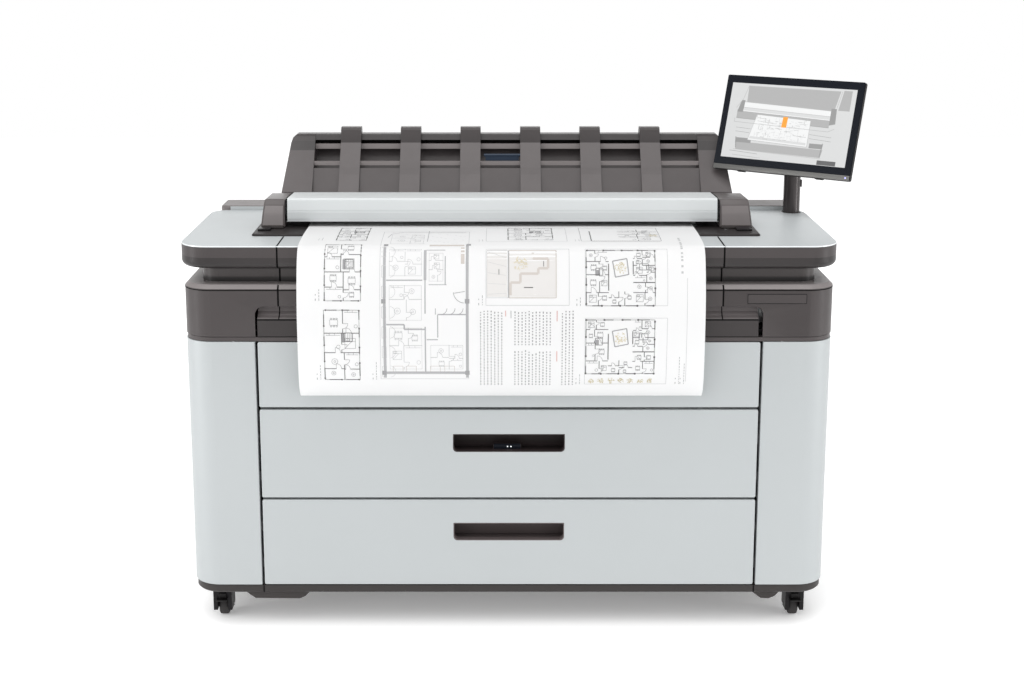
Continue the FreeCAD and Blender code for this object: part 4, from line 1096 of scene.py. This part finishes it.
# -------- pads under the base
bm = bmesh.new()
for left, right in ((-622, -468), (572, 640)):
    outline = [(left, 88), (left + 14, 77), (left + 24, 70), (right - 26, 69), (right - 12, 75),
               (right, 88)]
    matrix = on_front(0, 0, 0)
    prism(bm, [(x / 1000, z / 1000) for x, z in outline], 0.014, 0.150, matrix)
piece("base_channels", bm, "base", "cabinet", smooth=30)
BASE_SKIN = skin("base_pan")
bm = bmesh.new()
for x in (-576, 576):
    traced(bm, BASE_SKIN, rearward_rays(x, [106.5 - 1.2 * k for k in range(23)]), AXIS_X,
           0.0016, 0.0002)
piece("base_seams", bm, "gap", "cabinet")

# The deck plates turn up behind, in front of the rear cover.
bm = bmesh.new()
for left, right in ((-708, -526.5), (488.5, 708)):
    block(bm, at(left, 484.6, 918), at(right, 485.8, 929), 0.0004)
piece("deck_rear_lips", bm, "deck", "cabinet")


# -------- casters
def mirrored(profile):
    """Half a profile, then the same half reflected along the axle."""
    return profile + [(radius, -along) for radius, along in reversed(profile)]


def caster(stem):
    """The soft parts and small metal parts of one caster, from its CAD wheel and fork."""
    swivel, roller = f"{stem}_swivel", f"{stem}_roller"
    fork, wheel = f"{stem}_fork", f"{stem}_wheel"
    low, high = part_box(wheel)
    middle = Vector([(a + b) / 2 for a, b in zip(low, high)])
    radius, half = (high[2] - low[2]) / 2, (high[0] - low[0]) / 2
    place = Matrix.Translation(middle)
    tyre_half = [(radius * 0.66, half * 0.8), (radius * 0.70, half), (radius * 0.90, half),
                 (radius * 0.975, half * 0.86), (radius, half * 0.6)]
    hub_half = [(0.0043, half * 0.95), (radius * 0.30, half * 0.95), (radius * 0.34, half * 0.55),
                (radius * 0.60, half * 0.5), (radius * 0.68, half * 0.8)]
    bm = bmesh.new()
    turned(bm, mirrored(tyre_half), place, 64)
    tyre = piece(f"{stem}_tyre", bm, "tyre", roller, smooth=50)
    bm = bmesh.new()
    turned(bm, mirrored(hub_half), place, 48)
    hub = piece(f"{stem}_hub", bm, "hub", roller, smooth=50)
    hub.parent = tyre
    hub.matrix_parent_inverse = tyre.matrix_world.inverted()
    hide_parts(wheel)
    flow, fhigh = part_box(fork)
    mid_x = (flow[0] + fhigh[0]) / 2
    bm = bmesh.new()
    for wide, front, back, high in ((0.013, 0.016, 0.002, 0.0545), (0.009, 0.003, 0.010, 0.066)):
        block(bm, (mid_x - wide, flow[1] - front, 0.050), (mid_x + wide, flow[1] + back, high),
              0.0016, segments=3)
    piece(f"{stem}_brake", bm, "hub", swivel, smooth=40)
    bm = bmesh.new()
    for x, side in ((flow[0], -1), (fhigh[0], 1)):
        turned(bm, [(0.0, side * 0.0014), (0.0052, side * 0.0014), (0.0062, side * 0.0004),
                    (0.0062, -side * 0.001), (0.0, -side * 0.001)],
               Matrix.Translation((x, middle.y, middle.z)), 24, False)
    piece(f"{stem}_axle_caps", bm, "steel", swivel, smooth=40)


for stem in ("front_left", "front_right", "rear_left", "rear_right"):
    caster(stem)

# -------- back panel details
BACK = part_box("back_panel")[1]
bm = bmesh.new()
for x in range(-700, 701, 200):
    for z in (124, 500, 850):
        matrix = Matrix.Translation((MID_X + x / 1000, BACK[1], z / 1000)) @ Matrix.Rotation(
            math.pi / 2, 4, "Z")
        turned(bm, [(0.0, 0.0012), (0.0034, 0.0010), (0.0045, 0.0002), (0.0045, -0.0008),
                    (0.0, -0.0008)], matrix, 20, False)
piece("back_screws", bm, "steel", "cabinet", smooth=40)

# -------- floor, light, camera
bm = bmesh.new()
corners = [(-9, -7), (9, -7), (9, 9), (-9, 9)]
bm.faces.new([bm.verts.new((x, y, -0.0005)) for x, y in corners])
floor = placed("floor", to_mesh("floor", bm))
paint = surface("floor_paint", (0.95, 0.95, 0.95), 0.85, grain=60, bump=0.0, mottle=0.004,
                cloud=1.0, spec=0.2)
tuned(shader_of(paint), Emission_Color=(1, 1, 1, 1), Emission_Strength=0.22)
floor.data.materials.append(paint)


def lamp(name, place, target, size, power, tall=None):
    """A rectangular area light turned to a target."""
    data = bpy.data.lights.new(name, "AREA")
    data.shape = "RECTANGLE"
    data.size, data.size_y = size, tall or size
    data.energy = power
    obj = placed(name, data)
    obj.location = place
    obj.rotation_euler = (Vector(target) - Vector(place)).to_track_quat("-Z", "Y").to_euler()


for side, name, power in ((-1, "left", 34), (1, "right", 26)):
    lamp(f"front_{name}_softbox", (side * 3.6, -3.8, 2.4), (0, 0, 0.7), 2.6, power)
lamp("rear_softbox", (0.0, 4.6, 2.3), (0, 0.2, 1.0), 7.0, 60, 2.8)
for side, name in ((-1, "left"), (1, "right")):
    lamp(f"{name}_strip", (side * 3.4, -1.2, 1.3), (0, 0, 0.8), 0.35, 22, 2.4)
sky = bpy.data.lights.new("overhead_panel", "SUN")
sky.energy = 1.5
sky.angle = math.radians(55)
placed("overhead_panel", sky).rotation_euler = (math.radians(20), math.radians(-8), 0)

world = bpy.data.worlds.new("studio")
bpy.context.scene.world = world
world.use_nodes = True
tree = world.node_tree
fill = tuned(tree.nodes["Background"], Color=(1, 1, 1, 1), Strength=0.62)
backdrop = tuned(tree.nodes.new("ShaderNodeBackground"), Color=(1, 1, 1, 1), Strength=1.0)
path = tree.nodes.new("ShaderNodeLightPath")
blend = tree.nodes.new("ShaderNodeMixShader")
tree.links.new(path.outputs["Is Camera Ray"], blend.inputs["Fac"])
tree.links.new(fill.outputs["Background"], blend.inputs[1])
tree.links.new(backdrop.outputs["Background"], blend.inputs[2])
tree.links.new(blend.outputs["Shader"], tree.nodes["World Output"].inputs["Surface"])
bpy.context.scene.view_settings.view_transform = "Standard"

lens = bpy.data.cameras.new("camera")
lens.sensor_width = 36
lens.lens = 55.18
lens.shift_x = 0.012
lens.shift_y = -0.085
lens.clip_end = 60
camera = placed("camera", lens)
camera.location = at(-21.2, -3465, 1596.8)
camera.rotation_euler = (math.radians(90 - 11.35), 0, 0)
bpy.context.scene.camera = camera
